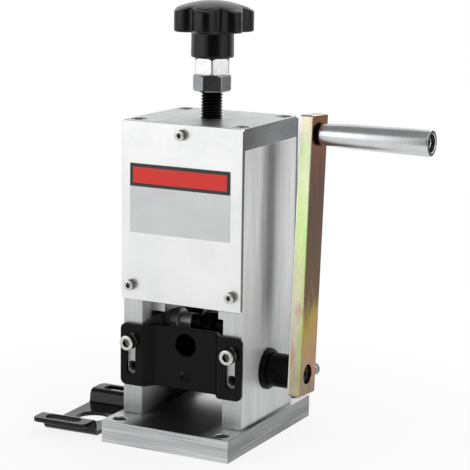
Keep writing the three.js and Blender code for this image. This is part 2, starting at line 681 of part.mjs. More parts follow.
function handleGrip() {
  const end = GRIP_END_X;
  const chamfer = SCREW_CHAMFER;
  const bore = HANDLE_BOLT_SHOULDER / 2 + FIT_GAP;
  const headBore = HANDLE_BOLT_HEAD / 2 + FIT_GAP;
  const neck = GRIP_NECK_DIAMETER / 2;
  const waist = GRIP_WAIST_DIAMETER / 2;
  const profile = [[bore, GRIP_X], [neck - chamfer, GRIP_X]];
  const steps = 5;
  for (let i = 0; i <= steps; i++) {
    const share = i / steps;
    const swell = Math.sin((share * Math.PI) / 2);
    profile.push([neck + (waist - neck) * swell, GRIP_X + chamfer + (GRIP_NECK_LENGTH - chamfer) * share]);
  }
  profile.push([GRIP_END_DIAMETER / 2, end - chamfer]);
  profile.push([GRIP_END_DIAMETER / 2 - chamfer, end]);
  profile.push([headBore, end], [headBore, BOLT_HEAD_X - FIT_GAP], [bore, BOLT_HEAD_X - FIT_GAP]);
  profile.push([bore, GRIP_X]);
  return turned(profile, 'x', [0, 0, 0]);
}

function handleBolt() {
  const thread = HANDLE_BOLT_THREAD / 2;
  const shoulder = HANDLE_BOLT_SHOULDER / 2;
  const head = HANDLE_BOLT_HEAD / 2;
  const top = BOLT_HEAD_X + HANDLE_BOLT_HEAD_HEIGHT;
  const profile = [
    [0, ARM_X],
    [thread, ARM_X],
    [thread, ARM_OUTER_X],
    [shoulder, ARM_OUTER_X],
    [shoulder, BOLT_HEAD_X],
    [head, BOLT_HEAD_X],
    [head, top - SCREW_CHAMFER],
    [head - SCREW_CHAMFER, top],
    [0, top],
  ];
  const socket = prism(hexagon(M6.socket), 'x', top - HANDLE_BOLT_HEAD_HEIGHT / 2, top + 1);
  return cut(turned(profile, 'x', [0, 0, 0], MEDIUM_ROUND), socket);
}

function makeCrank() {
  const crank = new THREE.Group();
  crank.position.set(0, 0, CRANK_Z);
  crank.rotation.x = -THREE.MathUtils.degToRad(ARM_LEAN);
  machine.add(crank);

  const shaftEnd = ARM_OUTER_X - SHAFT_END_RECESS;
  const shaft = rod(SHAFT_RADIUS, -INNER_X - BUSH_LENGTH, shaftEnd, 'x', [0, 0, 0]);
  piece('crank_shaft', shaft, MATERIALS.darkSteel, crank);
  piece('drive_roller', toothedRoller(), MATERIALS.blackOxide, crank);
  for (const [name, sx] of SIDES) {
    const ends = [sx * (ROLLER_LENGTH / 2), sx * (INNER_X - FIT_GAP)].sort((a, b) => a - b);
    const spacer = tube(SHAFT_BORE, SHAFT_BORE + SPACER_WALL, ...ends);
    piece(`${name}_roller_spacer`, spacer, MATERIALS.darkSteel, crank);
  }
  const sleeve = tube(SHAFT_BORE, SLEEVE_DIAMETER / 2, SLEEVE_X, SLEEVE_X + SLEEVE_LENGTH);
  piece('hub_sleeve', sleeve, MATERIALS.blackOxide, crank);
  piece('crank_arm', crankArm(), MATERIALS.zincPlatedSteel, crank);
  const clampSeat = [ARM_X + ARM_THICKNESS / 2, ARM_WIDTH / 2 + CLAMP_SCREW_PROUD, 0];
  addScrew('arm_clamp_screw', M5_CLAMP, 'y', clampSeat, crank);

  const handle = new THREE.Group();
  handle.position.set(0, 0, ARM_THROW);
  crank.add(handle);
  const washerBore = HANDLE_BOLT_SHOULDER / 2 + FIT_GAP;
  const washer = tube(washerBore, WASHER_DIAMETER / 2, WASHER_X, WASHER_X + WASHER_THICKNESS);
  piece('handle_washer', washer, MATERIALS.blackOxide, handle);
  piece('handle_bolt', handleBolt(), MATERIALS.brightSteel, handle);
  piece('handle_grip', handleGrip(), MATERIALS.brushedSteel, handle);
}

function adjustingScrew() {
  const threadFoot = TOP - THREAD_PITCH;
  const buttonFoot = CARRIAGE_TOP - FIT_GAP - BUTTON_HEIGHT;
  const rodFoot = CARRIAGE_TOP + RETAINER_THICKNESS + FIT_GAP;
  const rodTop = KNOB_Z + KNOB_BORE_DEPTH - FIT_GAP;
  const root = ROD_RADIUS - THREAD_DEPTH;
  const profile = [
    [0, buttonFoot],
    [BUTTON_DIAMETER / 2, buttonFoot],
    [BUTTON_DIAMETER / 2, buttonFoot + BUTTON_HEIGHT],
    [NECK_DIAMETER / 2, buttonFoot + BUTTON_HEIGHT],
    [NECK_DIAMETER / 2, rodFoot],
    [ROD_RADIUS, rodFoot],
  ];
  for (let z = threadFoot; z < LOWER_NUT_Z - THREAD_PITCH / 2; z += THREAD_PITCH) {
    profile.push([ROD_RADIUS, z], [root, z + THREAD_PITCH / 2]);
  }
  profile.push([ROD_RADIUS, LOWER_NUT_Z], [ROD_RADIUS, rodTop], [0, rodTop]);
  return turned(profile, 'z', [0, 0, 0], MEDIUM_ROUND);
}

// A hexagon nut along Z or X with chamfered corners at both faces.
function nut(flats, height, bore, axis, from, turn = 0) {
  const corner = flats / Math.sqrt(3) + 0.1;
  const rim = flats / 2 - 0.2;
  const slope = NUT_CHAMFER;
  const chamfers = [[0, 0], [rim, 0], [corner, slope], [corner, height - slope], [rim, height], [0, height]];
  const place = axis === 'z' ? [0, 0, from] : [from, 0, 0];
  const block = prism(hexagon(flats, turn), axis, from, from + height);
  const chamfered = block.intersect(turned(chamfers, axis, place));
  return cut(chamfered, rod(bore, -1, height + 1, axis, place, MEDIUM_ROUND));
}

// The knob's outline: round lobes that meet in creases.
function knobOutline() {
  const tip = KNOB_DIAMETER / 2;
  const crease = KNOB_CREASE_DIAMETER / 2;
  const halfPitch = Math.PI / KNOB_LOBES;
  const creaseX = crease * Math.cos(halfPitch);
  const creaseY = crease * Math.sin(halfPitch);
  const centre = (tip ** 2 - crease ** 2) / (2 * (tip - creaseX));
  const lobe = tip - centre;
  const reach = Math.atan2(creaseY, creaseX - centre);
  const steps = 6;
  const points = [];
  for (let i = 0; i < KNOB_LOBES; i++) {
    const turn = THREE.MathUtils.degToRad(KNOB_TURN) + i * 2 * halfPitch;
    for (let j = 0; j < steps; j++) {
      const angle = -reach + (2 * reach * j) / steps;
      const x = centre + lobe * Math.cos(angle);
      const y = lobe * Math.sin(angle);
      const around = new THREE.Vector2(x, y).rotateAround(new THREE.Vector2(), turn);
      points.push(around);
    }
  }
  return new THREE.Shape(points);
}

function starKnob() {
  const tip = KNOB_DIAMETER / 2;
  const top = KNOB_HEAD_Z + KNOB_HEAD_HEIGHT + KNOB_DOME;
  const profile = [[0, KNOB_HEAD_Z], [tip + 1, KNOB_HEAD_Z]];
  const steps = 5;
  for (let i = 0; i <= steps; i++) {
    const radius = (tip + 1) * (1 - i / steps);
    profile.push([radius, top - KNOB_DOME * (radius / tip) ** 2]);
  }
  const dome = turned(profile, 'z', [0, 0, 0]);
  const head = prism(knobOutline(), 'z', KNOB_HEAD_Z, top + 1).intersect(dome);
  const hub = rod(KNOB_HUB_DIAMETER / 2, KNOB_Z, KNOB_HEAD_Z + 1, 'z', [0, 0, 0]);
  const bore = rod(ROD_RADIUS + FIT_GAP, KNOB_Z - 1, KNOB_Z + KNOB_BORE_DEPTH, 'z', [0, 0, 0], MEDIUM_ROUND);
  return cut(joined(head, hub), bore);
}

function makeAdjuster() {
  piece('adjusting_screw', adjustingScrew(), MATERIALS.blackOxide);
  const bore = ROD_RADIUS + FIT_GAP;
  const lowerTurn = THREE.MathUtils.degToRad(LOWER_NUT_TURN);
  const upperTurn = THREE.MathUtils.degToRad(UPPER_NUT_TURN);
  piece('lower_nut', nut(NUT_FLATS, NUT_HEIGHT, bore, 'z', LOWER_NUT_Z, lowerTurn), MATERIALS.darkSteel);
  piece('upper_nut', nut(NUT_FLATS, NUT_HEIGHT, bore, 'z', UPPER_NUT_Z, upperTurn), MATERIALS.brightSteel);
  piece('star_knob', starKnob(), MATERIALS.blackPlastic);
}

const RETAINER_X = RETAINER_SCREW_SPREAD / 2;

function bladeCarriage() {
  const halfWidth = INNER_X + GROOVE_DEPTH - SLIDE_GAP;
  const halfDepth = CARRIAGE_DEPTH / 2;
  const slot = CHEEK_GAP / 2;
  const pocketDepth = BUTTON_HEIGHT + 2 * FIT_GAP;
  let body = cut(
    box([-halfWidth, -halfDepth, CHEEK_Z], [halfWidth, halfDepth, CARRIAGE_TOP]),
    box([-slot, -halfDepth - 1, CHEEK_Z - 1], [slot, halfDepth + 1, CHEEK_Z + CHEEK_LENGTH]),
    rod(BUTTON_DIAMETER / 2 + FIT_GAP, -pocketDepth, 1, 'z', [0, 0, CARRIAGE_TOP], MEDIUM_ROUND),
  );
  const lugRadius = LUG_DIAMETER / 2;
  for (const [, sx] of SIDES) {
    const [low, high] = [sx * LUG_INNER_X, sx * LUG_OUTER_X].sort((a, b) => a - b);
    const lug = new THREE.Shape();
    lug.moveTo(lugRadius, CHEEK_Z + 1);
    lug.lineTo(-lugRadius, CHEEK_Z + 1);
    lug.absarc(0, BLADE_Z, lugRadius, Math.PI, 2 * Math.PI);
    body = joined(body, prism(lug, 'x', low, high, SMALL_ROUND));
    body = cut(
      body,
      rod(AXLE_DIAMETER / 2 + FIT_GAP, low - 1, high + 1, 'x', [0, 0, BLADE_Z], SMALL_ROUND),
      screwHole(M4, 'z', [sx * RETAINER_X, 0, CARRIAGE_TOP], M4.length),
    );
  }
  return body;
}

function screwRetainer() {
  const halfWidth = RETAINER_WIDTH / 2;
  const halfDepth = RETAINER_DEPTH / 2;
  const low = CARRIAGE_TOP;
  const high = CARRIAGE_TOP + RETAINER_THICKNESS;
  const neck = NECK_DIAMETER / 2 + FIT_GAP;
  return cut(
    box([-halfWidth, -halfDepth, low], [halfWidth, halfDepth, high]),
    rod(neck, low - 1, high + 1, 'z', [0, 0, 0], MEDIUM_ROUND),
    box([-neck, 0, low - 1], [neck, halfDepth + 1, high + 1]),
    screwHole(M4, 'z', [-RETAINER_X, 0, high], RETAINER_THICKNESS + 1),
    screwHole(M4, 'z', [RETAINER_X, 0, high], RETAINER_THICKNESS + 1),
  );
}

function makeCarriage() {
  piece('blade_carriage', bladeCarriage(), MATERIALS.satinAluminium);
  piece('screw_retainer', screwRetainer(), MATERIALS.darkSteel);
  for (const [name, sx] of SIDES) {
    const seat = [sx * RETAINER_X, 0, CARRIAGE_TOP + RETAINER_THICKNESS];
    addScrew(`retainer_screw_${name}`, M4, 'z', seat);
  }
  const axleEnd = LUG_OUTER_X - 0.2;
  const axle = rod(AXLE_DIAMETER / 2, -axleEnd, axleEnd, 'x', [0, 0, BLADE_Z], SMALL_ROUND);
  piece('blade_axle', axle, MATERIALS.brightSteel);
  const bore = AXLE_DIAMETER / 2 + FIT_GAP;
  for (const [name, sx] of SIDES) {
    const ends = [sx * (CHEEK_GAP / 2), sx * LUG_INNER_X].sort((a, b) => a - b);
    const collar = tube(bore, AXLE_COLLAR_DIAMETER / 2, ...ends).translate([0, 0, BLADE_Z]);
    piece(`${name}_axle_collar`, collar, MATERIALS.brightSteel);
  }
}

function makeBlade() {
  const hubEnd = CHEEK_GAP / 2 - FIT_GAP;
  const hub = HUB_DIAMETER / 2;
  const flange = HUB_FLANGE_DIAMETER / 2;
  const bore = AXLE_DIAMETER / 2 + FIT_GAP;
  const blade = BLADE_DIAMETER / 2;
  const half = BLADE_THICKNESS / 2;
  const hubProfile = [
    [bore, -hubEnd],
    [hub, -hubEnd],
    [hub, -half - HUB_FLANGE_THICKNESS],
    [flange, -half - HUB_FLANGE_THICKNESS],
    [flange, -half],
    [hub, -half],
    [hub, hubEnd],
    [bore, hubEnd],
    [bore, -hubEnd],
  ];
  piece('blade_hub', turned(hubProfile, 'x', [0, 0, BLADE_Z]), MATERIALS.darkSteel);
  const bladeProfile = [
    [hub + FIT_GAP, -half],
    [blade - BLADE_BEVEL, -half],
    [blade, 0],
    [blade - BLADE_BEVEL, half],
    [hub + FIT_GAP, half],
    [hub + FIT_GAP, -half],
  ];
  piece('circular_blade', turned(bladeProfile, 'x', [0, 0, BLADE_Z], BLADE_ROUND), MATERIALS.bladeSteel);
  const bladeNut = nut(BLADE_NUT_FLATS, BLADE_NUT_HEIGHT, hub + FIT_GAP, 'x', half);
  piece('blade_nut', bladeNut.translate([0, 0, BLADE_Z]), MATERIALS.darkSteel);
}

makeBasePlate();
for (const [name, sx] of SIDES) {
  makeSidePlate(name, sx);
}
makeTopPlate();
for (const [end, sy] of ENDS) {
  makeCover(end, sy);
  makeMountedGuide(end, sy);
}
makeLabel();
makeSpareGuide();
makeBearings();
makeCrank();
makeAdjuster();
makeCarriage();
makeBlade();

export default machine;
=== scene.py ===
"""Looks of the hand crank wire stripper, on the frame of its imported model.

Sizes are millimetres until a mesh is made, and the mesh is in metres. +Z is up, the cable goes in from
-Y, and the crank is on the +X side. Each sub-assembly is a class whose fields are its sizes and whose
methods build its surfaces and dress them.
"""

import json
import logging
import math
from collections.abc import Callable, Sequence
from dataclasses import dataclass
from enum import Enum

import bmesh
import bpy
import numpy as np
from mathutils import Matrix, Vector
from mathutils.geometry import delaunay_2d_cdt


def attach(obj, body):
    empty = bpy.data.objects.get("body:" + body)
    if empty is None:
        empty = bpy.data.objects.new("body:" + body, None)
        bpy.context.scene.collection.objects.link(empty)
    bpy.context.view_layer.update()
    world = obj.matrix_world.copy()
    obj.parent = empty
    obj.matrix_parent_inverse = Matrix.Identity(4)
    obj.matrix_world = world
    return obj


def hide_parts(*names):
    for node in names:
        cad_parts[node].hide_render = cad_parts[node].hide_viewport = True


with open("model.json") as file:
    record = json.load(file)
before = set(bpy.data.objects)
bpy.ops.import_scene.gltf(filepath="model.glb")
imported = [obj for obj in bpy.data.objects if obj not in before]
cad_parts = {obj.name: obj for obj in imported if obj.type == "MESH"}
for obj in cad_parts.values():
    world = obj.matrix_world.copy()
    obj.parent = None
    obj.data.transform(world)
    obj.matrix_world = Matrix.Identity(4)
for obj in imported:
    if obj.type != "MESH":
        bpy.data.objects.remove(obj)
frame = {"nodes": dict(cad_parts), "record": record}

LOG = logging.getLogger("wire_stripper")
MM = 0.001
# In metres: points closer than the first are one, and an edge shorter than the second is none.
MERGED = 2e-6
SLIVER = 1e-7
Array = np.ndarray
Point = tuple[float, float, float]
Span = tuple[float, float]
Tree = bpy.types.NodeTree
Socket = bpy.types.NodeSocket
BODY_OF = {n: b for b, members in frame["record"]["behaviour"]["bodies"].items() for n in members}
CORNERS = [(a, b) for a in (-1, 1) for b in (-1, 1)]


# Outlines on a flat face


def angles(count: int) -> Array:
    """The angles of a full turn, evenly spaced from 0 on."""
    return np.linspace(0, 2 * np.pi, count, endpoint=False)


def circle(radius: float, centre: Span = (0.0, 0.0), count: int = 40) -> Array:
    """Points of a circle, counterclockwise, one a row."""
    angle = angles(count)
    return np.stack([np.cos(angle), np.sin(angle)], axis=1) * radius + np.array(centre)


def rounded_rectangle(
    low: Span, high: Span, radius: float, steps: int = 6, stations: Sequence[float] = ()
) -> Array:
    """A rectangle with a quarter circle round each corner's own centre, counterclockwise.

    Args:
        low: its lowest corner.
        high: its highest corner.
        radius: of its corners.
        steps: of a quarter circle.
        stations: places along the lower and upper edge that get a point too, to be bent at.

    Returns:
        Points, one a row.
    """
    (x0, y0), (x1, y1) = low, high
    turn = np.linspace(0, np.pi / 2, steps + 1)

    def corner(x: float, y: float, start: float) -> Array:
        """A quarter circle from an angle on."""
        return np.stack([x + radius * np.cos(turn + start), y + radius * np.sin(turn + start)], axis=1)

    places = np.array(sorted(stations))
    lower = np.stack([places, np.full(len(places), y0)], axis=1)
    upper = np.stack([places[::-1], np.full(len(places), y1)], axis=1)
    right = [corner(x1 - radius, y0 + radius, -np.pi / 2), corner(x1 - radius, y1 - radius, 0)]
    left = [corner(x0 + radius, y1 - radius, np.pi / 2), corner(x0 + radius, y0 + radius, np.pi)]
    return np.concatenate([lower, *right, upper, *left])


def inset(outline: Array, distance: float) -> Array:
    """Moves a counterclockwise outline inwards, all of it by the same distance.

    A point moves along the sum of its two edges' normals, times the distance, over one plus the
    cosine between them, which keeps each edge at that distance.

    Args:
        outline: points, one a row.
        distance: inwards, or outwards where it is negative.

    Returns:
        The moved points.
    """
    ahead = np.roll(outline, -1, axis=0) - outline
    ahead = ahead / np.linalg.norm(ahead, axis=1, keepdims=True)
    behind = np.roll(ahead, 1, axis=0)
    first = np.stack([-behind[:, 1], behind[:, 0]], axis=1)
    second = np.stack([-ahead[:, 1], ahead[:, 0]], axis=1)
    spread = 1 + np.sum(first * second, axis=1, keepdims=True)
    return outline + distance * (first + second) / spread


def inside(points: Array, outline: Array) -> Array:
    """Whether points lie in an outline: a ray to the right crosses it an odd number of times.

    Args:
        points: one a row.
        outline: points, one a row.

    Returns:
        One truth value for each point.
    """
    x, y = points[:, :1], points[:, 1:]
    x0, y0 = outline[:, 0], outline[:, 1]
    x1, y1 = np.roll(x0, -1), np.roll(y0, -1)
    spans = (y0 > y) != (y1 > y)
    rise = np.where(y1 == y0, 1e-9, y1 - y0)
    crosses = spans & (x < x0 + (y - y0) * (x1 - x0) / rise)
    return np.sum(crosses, axis=1) % 2 == 1


def fill_flat(loops: Sequence[Array], stations: Sequence[float] = ()) -> tuple[Array, Array]:
    """Triangles of the area that is inside the first loop and outside the others.

    A constrained Delaunay mesh of all the loops keeps the triangles whose middles are in that area.

    Args:
        loops: the outer outline, then the holes.
        stations: straight lines across the area that no triangle crosses.

    Returns:
        The points, and the triangles as rows of three point numbers.
    """
    points = np.concatenate(loops)
    starts = np.cumsum([0] + [len(loop) for loop in loops])
    orders = [(np.arange(len(loop)), start) for loop, start in zip(loops, starts)]
    rims = [np.stack([order, np.roll(order, -1)], axis=1) + start for order, start in orders]
    lines = [np.flatnonzero(np.abs(loops[0][:, 0] - place) < 1e-6)[None, :2] for place in stations]
    edges = np.concatenate(rims + lines)
    made, _, triangles, *_ = delaunay_2d_cdt(points.tolist(), edges.tolist(), [], 1, 1e-6)
    flat = np.array(made).reshape(-1, 2)
    kept = np.array(triangles).reshape(-1, 3)
    middles = flat[kept].mean(axis=1)
    wanted = inside(middles, loops[0])
    for hole in loops[1:]:
        wanted &= ~inside(middles, hole)
    return flat, kept[wanted]


# Surfaces


class Shell:
    """Points and faces gathered for one mesh, in millimetres."""

    def __init__(self) -> None:
        """Starts with no points."""
        self.points: list[Array] = []
        self.faces: list[Array] = []
        self.parts: list[Array] = []
        self.count = 0

    def add(self, points: Array, faces: Array, part: int | Array = 0) -> None:
        """Adds points, and faces that join them.

        Args:
            points: with three numbers in the last axis.
            faces: rows of point numbers, counted from the first of these points.
            part: 0 for faces in the piece's main finish, 1 for its second one.
        """
        flat = points.reshape(-1, 3)
        self.points.append(flat)
        self.faces.append(faces + self.count)
        self.parts.append(np.broadcast_to(part, len(faces)))
        self.count += len(flat)

    def grid(self, rows: Array, around: bool = True, part: int | Sequence[int] = 0) -> None:
        """Adds a grid of points as quads, each between two rows and two columns.

        Args:
            rows: rows by columns by three.
            around: whether the last column is joined to the first.
            part: the part of all the quads, or one part for each band between two rows.
        """
        high, wide = rows.shape[:2]
        index = np.arange(high * wide).reshape(high, wide)
        if around:
            index = np.concatenate([index, index[:, :1]], axis=1)
        quads = np.stack([index[:-1, :-1], index[:-1, 1:], index[1:, 1:], index[1:, :-1]], axis=-1)
        bands = np.broadcast_to(np.array(part), high - 1)
        self.add(rows, quads.reshape(-1, 4), np.repeat(bands, index.shape[1] - 1))

    def cap(self, ring: Array, part: int = 0) -> None:
        """Closes a ring with a fan round its middle."""
        order = np.arange(len(ring))
        fan = np.stack([order, np.roll(order, -1), np.full(len(ring), len(ring))], axis=1)
        self.add(np.vstack([ring, ring.mean(axis=0)]), fan, part)

    def turn_about_x(self, degrees: float, height: float) -> "Shell":
        """Turns all points about the line along X at y = 0 and the given height."""
        sine, cosine = math.sin(math.radians(degrees)), math.cos(math.radians(degrees))
        turn = np.array([[1, 0, 0], [0, cosine, -sine], [0, sine, cosine]])
        pivot = np.array([0, 0, height])
        self.points = [(points - pivot) @ turn.T + pivot for points in self.points]
        return self


def make_object(name: str, shell: Shell, smooth: float) -> bpy.types.Object:
    """Makes an object of a shell, with its seams merged and its faces outwards.

    Args:
        name: of the object and its mesh.
        shell: the points and faces, in millimetres.
        smooth: degrees between two faces up to which the edge between them looks round.

    Returns:
        The object, at the origin.
    """
    mesh = bpy.data.meshes.new(name)
    points = np.concatenate(shell.points) * MM
    corners = np.concatenate([faces.ravel() for faces in shell.faces])
    sizes = np.concatenate([np.full(len(faces), faces.shape[1]) for faces in shell.faces])
    mesh.vertices.add(len(points))
    mesh.vertices.foreach_set("co", points.astype(np.float32).ravel())
    mesh.loops.add(len(corners))
    mesh.loops.foreach_set("vertex_index", corners.astype(np.int32))
    mesh.polygons.add(len(sizes))
    mesh.polygons.foreach_set("loop_start", (np.cumsum(sizes) - sizes).astype(np.int32))
    mesh.update(calc_edges=True)
    mesh.polygons.foreach_set("material_index", np.concatenate(shell.parts).astype(np.int32))
    work = bmesh.new()
    work.from_mesh(mesh)
    bmesh.ops.remove_doubles(work, verts=work.verts, dist=MERGED)
    bmesh.ops.dissolve_degenerate(work, dist=SLIVER, edges=work.edges)
    bmesh.ops.recalc_face_normals(work, faces=work.faces)
    work.to_mesh(mesh)
    work.free()
    mesh.shade_smooth()
    mesh.set_sharp_from_angle(angle=math.radians(smooth))
    made = bpy.data.objects.new(name, mesh)
    bpy.context.scene.collection.objects.link(made)
    return made


@dataclass(frozen=True)
class Opening:
    """A hole in a flat face.

    Attributes:
        outline: its outline on the face, counterclockwise.
        steps: how far its wall has moved inwards, and how deep that is, from the rim down.
        through: whether it comes out of the opposite face.
        unshaded_bands: how many bands, from the rim down, have the plate's own finish and no painted shade.
    """

    outline: Array
    steps: tuple[Span, ...]
    through: bool = False
    unshaded_bands: int = 1

    def parts(self) -> list[int]:
        """0 for each band in the plate's finish, and 1 for each deeper one."""
        return [int(band >= self.unshaded_bands) for band in range(len(self.steps) - 1)]

    def rim(self) -> Array:
        """Its outline where it begins."""
        return inset(self.outline, self.steps[0][0])

    def exit(self) -> Array:
        """Its outline where it ends."""
        return inset(self.outline, self.steps[-1][0])


def bore(radius: float, centre: Span, depth: float, edge: float = 0.3) -> Opening:
    """A round hole straight through a plate, both rims broken, with the plate's finish on the wall near them.
    """
    steps = ((-edge, 0.0), (0.0, edge), (0.0, depth * 0.45), (0.0, depth - edge), (-edge, depth))
    return Opening(circle(radius, centre), steps, True, 2)


def blind(radius: float, centre: Span, depth: float, edge: float = 0.3) -> Opening:
    """A round hole that ends in the plate."""
    return Opening(circle(radius, centre, 24), ((-edge, 0.0), (0.0, edge), (0.0, depth)))


def tapped(radius: float, centre: Span, depth: float, pitch: float) -> Opening:
    """A tapped hole: its wall goes in and out by a third of the pitch, once each pitch."""
    turns = np.arange(1, int(depth / pitch * 2))
    wall = tuple((pitch * 0.35 * float(i % 2), 0.3 + i * pitch / 2) for i in turns)
    return Opening(circle(radius, centre, 24), ((-0.5, 0.0), (0.0, 0.5), *wall))


def counterbore(radius: float, centre: Span, seat: float, narrow: float, depth: float) -> Opening:
    """A wide hole down to a seat, and a narrow one on through the plate."""
    step = radius - narrow
    steps = ((-0.3, 0.0), (0.0, 0.3), (0.0, seat), (step, seat), (step, depth))
    return Opening(circle(radius, centre), steps, True)


class Face(Enum):
    """The faces of a block: the axis that each one looks along, and which way."""

    LEFT = (0, -1)
    RIGHT = (0, 1)
    FRONT = (1, -1)
    REAR = (1, 1)
    FOOT = (2, -1)
    HEAD = (2, 1)

    def across(self) -> tuple[int, int]:
        """The two axes that lie in the face: Y and Z, Z and X, or X and Y."""
        return (self.value[0] + 1) % 3, (self.value[0] + 2) % 3

    def opposite(self) -> "Face":
        """The face on the other side of the block."""
        return Face((self.value[0], -self.value[1]))


def block(low: Point, high: Point, edge: float, openings: dict[Face, list[Opening]]) -> Shell:
    """A block with broken edges and with holes in its faces.

    Each face is the block's rectangle moved inwards by the edge break, less its holes. A quad joins
    the faces along each edge, and a triangle at each corner.

    Args:
        low: its lowest corner.
        high: its highest corner.
        edge: how far the edges are broken.
        openings: the holes in each face, with outlines on the two axes that lie in it.

    Returns:
        The block's surface.
    """
    shell = Shell()
    ends = np.array([low, high], dtype=float)

    def lay(points: Array, face: Face, depth: float) -> Array:
        """Points of a face, at a depth below it."""
        axis, way = face.value
        laid = np.zeros((len(points), 3))
        laid[:, axis] = ends[(way + 1) // 2, axis] - way * depth
        laid[:, list(face.across())] = points
        return laid

    for face in Face:
        first, second = face.across()
        x0, x1 = ends[0, first] + edge, ends[1, first] - edge
        y0, y1 = ends[0, second] + edge, ends[1, second] - edge
        outline = np.array([[x0, y0], [x1, y0], [x1, y1], [x0, y1]])
        holes = [opening.rim() for opening in openings.get(face, [])]
        holes += [opening.exit() for opening in openings.get(face.opposite(), []) if opening.through]
        flat, triangles = fill_flat([outline, *holes])
        shell.add(lay(flat, face, 0.0), triangles)
        for opening in openings.get(face, []):
            walls = [lay(inset(opening.outline, step), face, depth) for step, depth in opening.steps]
            shell.grid(np.stack(walls), part=opening.parts())
            if not opening.through:
                shell.cap(walls[-1], 1)
    for axis in range(3):
        first, second = (axis + 1) % 3, (axis + 2) % 3
        for a, b in [(a, b) for a in (0, 1) for b in (0, 1)]:
            quad = np.zeros((4, 3))
            quad[:, axis] = ends[[0, 1, 1, 0], axis] + np.array([edge, -edge, -edge, edge])
            quad[:, first] = ends[a, first] + (1 - 2 * a) * edge * np.array([0, 0, 1, 1])
            quad[:, second] = ends[b, second] + (1 - 2 * b) * edge * np.array([1, 1, 0, 0])
            shell.add(quad, np.array([[0, 1, 2, 3]]))
    for corner in range(8):
        pick = np.array([corner & 1, corner >> 1 & 1, corner >> 2 & 1])
        inwards = (1 - 2 * pick) * edge
        shell.add(ends[pick, np.arange(3)] + inwards * (1 - np.eye(3)), np.array([[0, 1, 2]]))
    return shell


def sheet(
    outline: Array,
    thickness: float,
    edge: float,
    openings: Sequence[Opening],
    place: Callable[[Array], Array],
    stations: Sequence[float] = (),
) -> Shell:
    """A plate of any outline with broken edges and holes, laid out flat and then put in its place.

    The wall is the outline carried over the thickness: in by the edge break at both faces, and out in
    between. Each face is the area between the outline and the holes.

    Args:
        outline: of the plate, counterclockwise.
        thickness: of the plate.
        edge: how far its edges are broken.
        openings: holes that start in the upper face and go through.
        place: puts points of the flat plate, whose third number is the height in it, where they belong.
        stations: lines across the flat plate where it is bent.

    Returns:
        The plate's surface.
    """
    shell = Shell()

    def lift(points: Array, height: float) -> Array:
        """Flat points at a height in the sheet, in their place."""
        return place(np.column_stack([points, np.full(len(points), height)]))

    wall = ((edge, 0.0), (0.0, edge), (0.0, thickness - edge), (edge, thickness))
    shell.grid(np.stack([lift(inset(outline, step), height) for step, height in wall]))
    for opening in openings:
        walls = [lift(inset(opening.outline, step), thickness - depth) for step, depth in opening.steps]
        shell.grid(np.stack(walls), part=opening.parts())
    upper, triangles = fill_flat([inset(outline, edge), *[o.rim() for o in openings]], stations)
    shell.add(lift(upper, thickness), triangles)
    lower, triangles = fill_flat([inset(outline, edge), *[o.exit() for o in openings]], stations)
    shell.add(lift(lower, 0.0), triangles)
    return shell


class Axis(Enum):
    """The way a turned piece points, and two directions across it."""

    RIGHT = ((1, 0, 0), (0, 1, 0), (0, 0, 1))
    UP = ((0, 0, 1), (1, 0, 0), (0, 1, 0))
    DOWN = ((0, 0, -1), (0, 1, 0), (1, 0, 0))
    FRONT = ((0, -1, 0), (1, 0, 0), (0, 0, 1))
    REAR = ((0, 1, 0), (0, 0, 1), (1, 0, 0))


def rings(axis: Axis, origin: Point, radius: Array, along: Array) -> Array:
    """Points round an axis: origin + along x axis + radius x (cosine x first + sine x second direction).

    Args:
        axis: the way it points.
        origin: where along is 0.
        radius: rows by columns, one column for each angle round the axis.
        along: rows by columns, or rows by 1.

    Returns:
        Rows by columns by three.
    """
    angle = angles(radius.shape[1])
    forward, first, second = (np.array(direction, dtype=float) for direction in axis.value)
    across = np.cos(angle)[:, None] * first + np.sin(angle)[:, None] * second
    height = np.broadcast_to(along, radius.shape)[..., None]
    return np.array(origin) + height * forward + radius[..., None] * across


def swept(rows: Sequence, axis: Axis, origin: Point, count: int, part: int | Sequence[int] = 0) -> Shell:
    """A surface round an axis, whose radius and place may change with the angle.

    Args:
        rows: the radius and the place along the axis of each ring, each as one number or one an angle.
        axis: the way it points.
        origin: where the places along it count from.
        count: points round the axis.
        part: 0 for the first finish and 1 for the second, for all bands or for each.

    Returns:
        The surface.
    """
    radius = np.stack([np.broadcast_to(row[0], count) for row in rows])
    along = np.stack([np.broadcast_to(row[1], count) for row in rows])
    shell = Shell()
    shell.grid(rings(axis, origin, radius, along), part=part)
    return shell


def rounded(profile: Sequence[Point], steps: int = 4) -> Array:
    """A profile whose corners are rounded.

    At a corner with a radius, a curve starts at that distance before the corner and ends at that
    distance behind it: a parabola with the corner as its control point.

    Args:
        profile: distance from the axis, place along it, and the rounding, for each corner.
        steps: of each rounding.

    Returns:
        Points, each the distance from the axis and the place along it.
    """
    made = []
    share = np.linspace(0, 1, steps + 1)[:, None]
    corners = [np.array(point[:2]) for point in profile]
    for i, (point, row) in enumerate(zip(corners, profile)):
        if row[2] == 0 or i in (0, len(profile) - 1):
            made.append(point[None])
            continue
        before, behind = corners[i - 1] - point, corners[i + 1] - point
        start = point + before / np.linalg.norm(before) * row[2]
        end = point + behind / np.linalg.norm(behind) * row[2]
        made.append((1 - share) ** 2 * start + 2 * share * (1 - share) * point + share**2 * end)
    return np.concatenate(made)


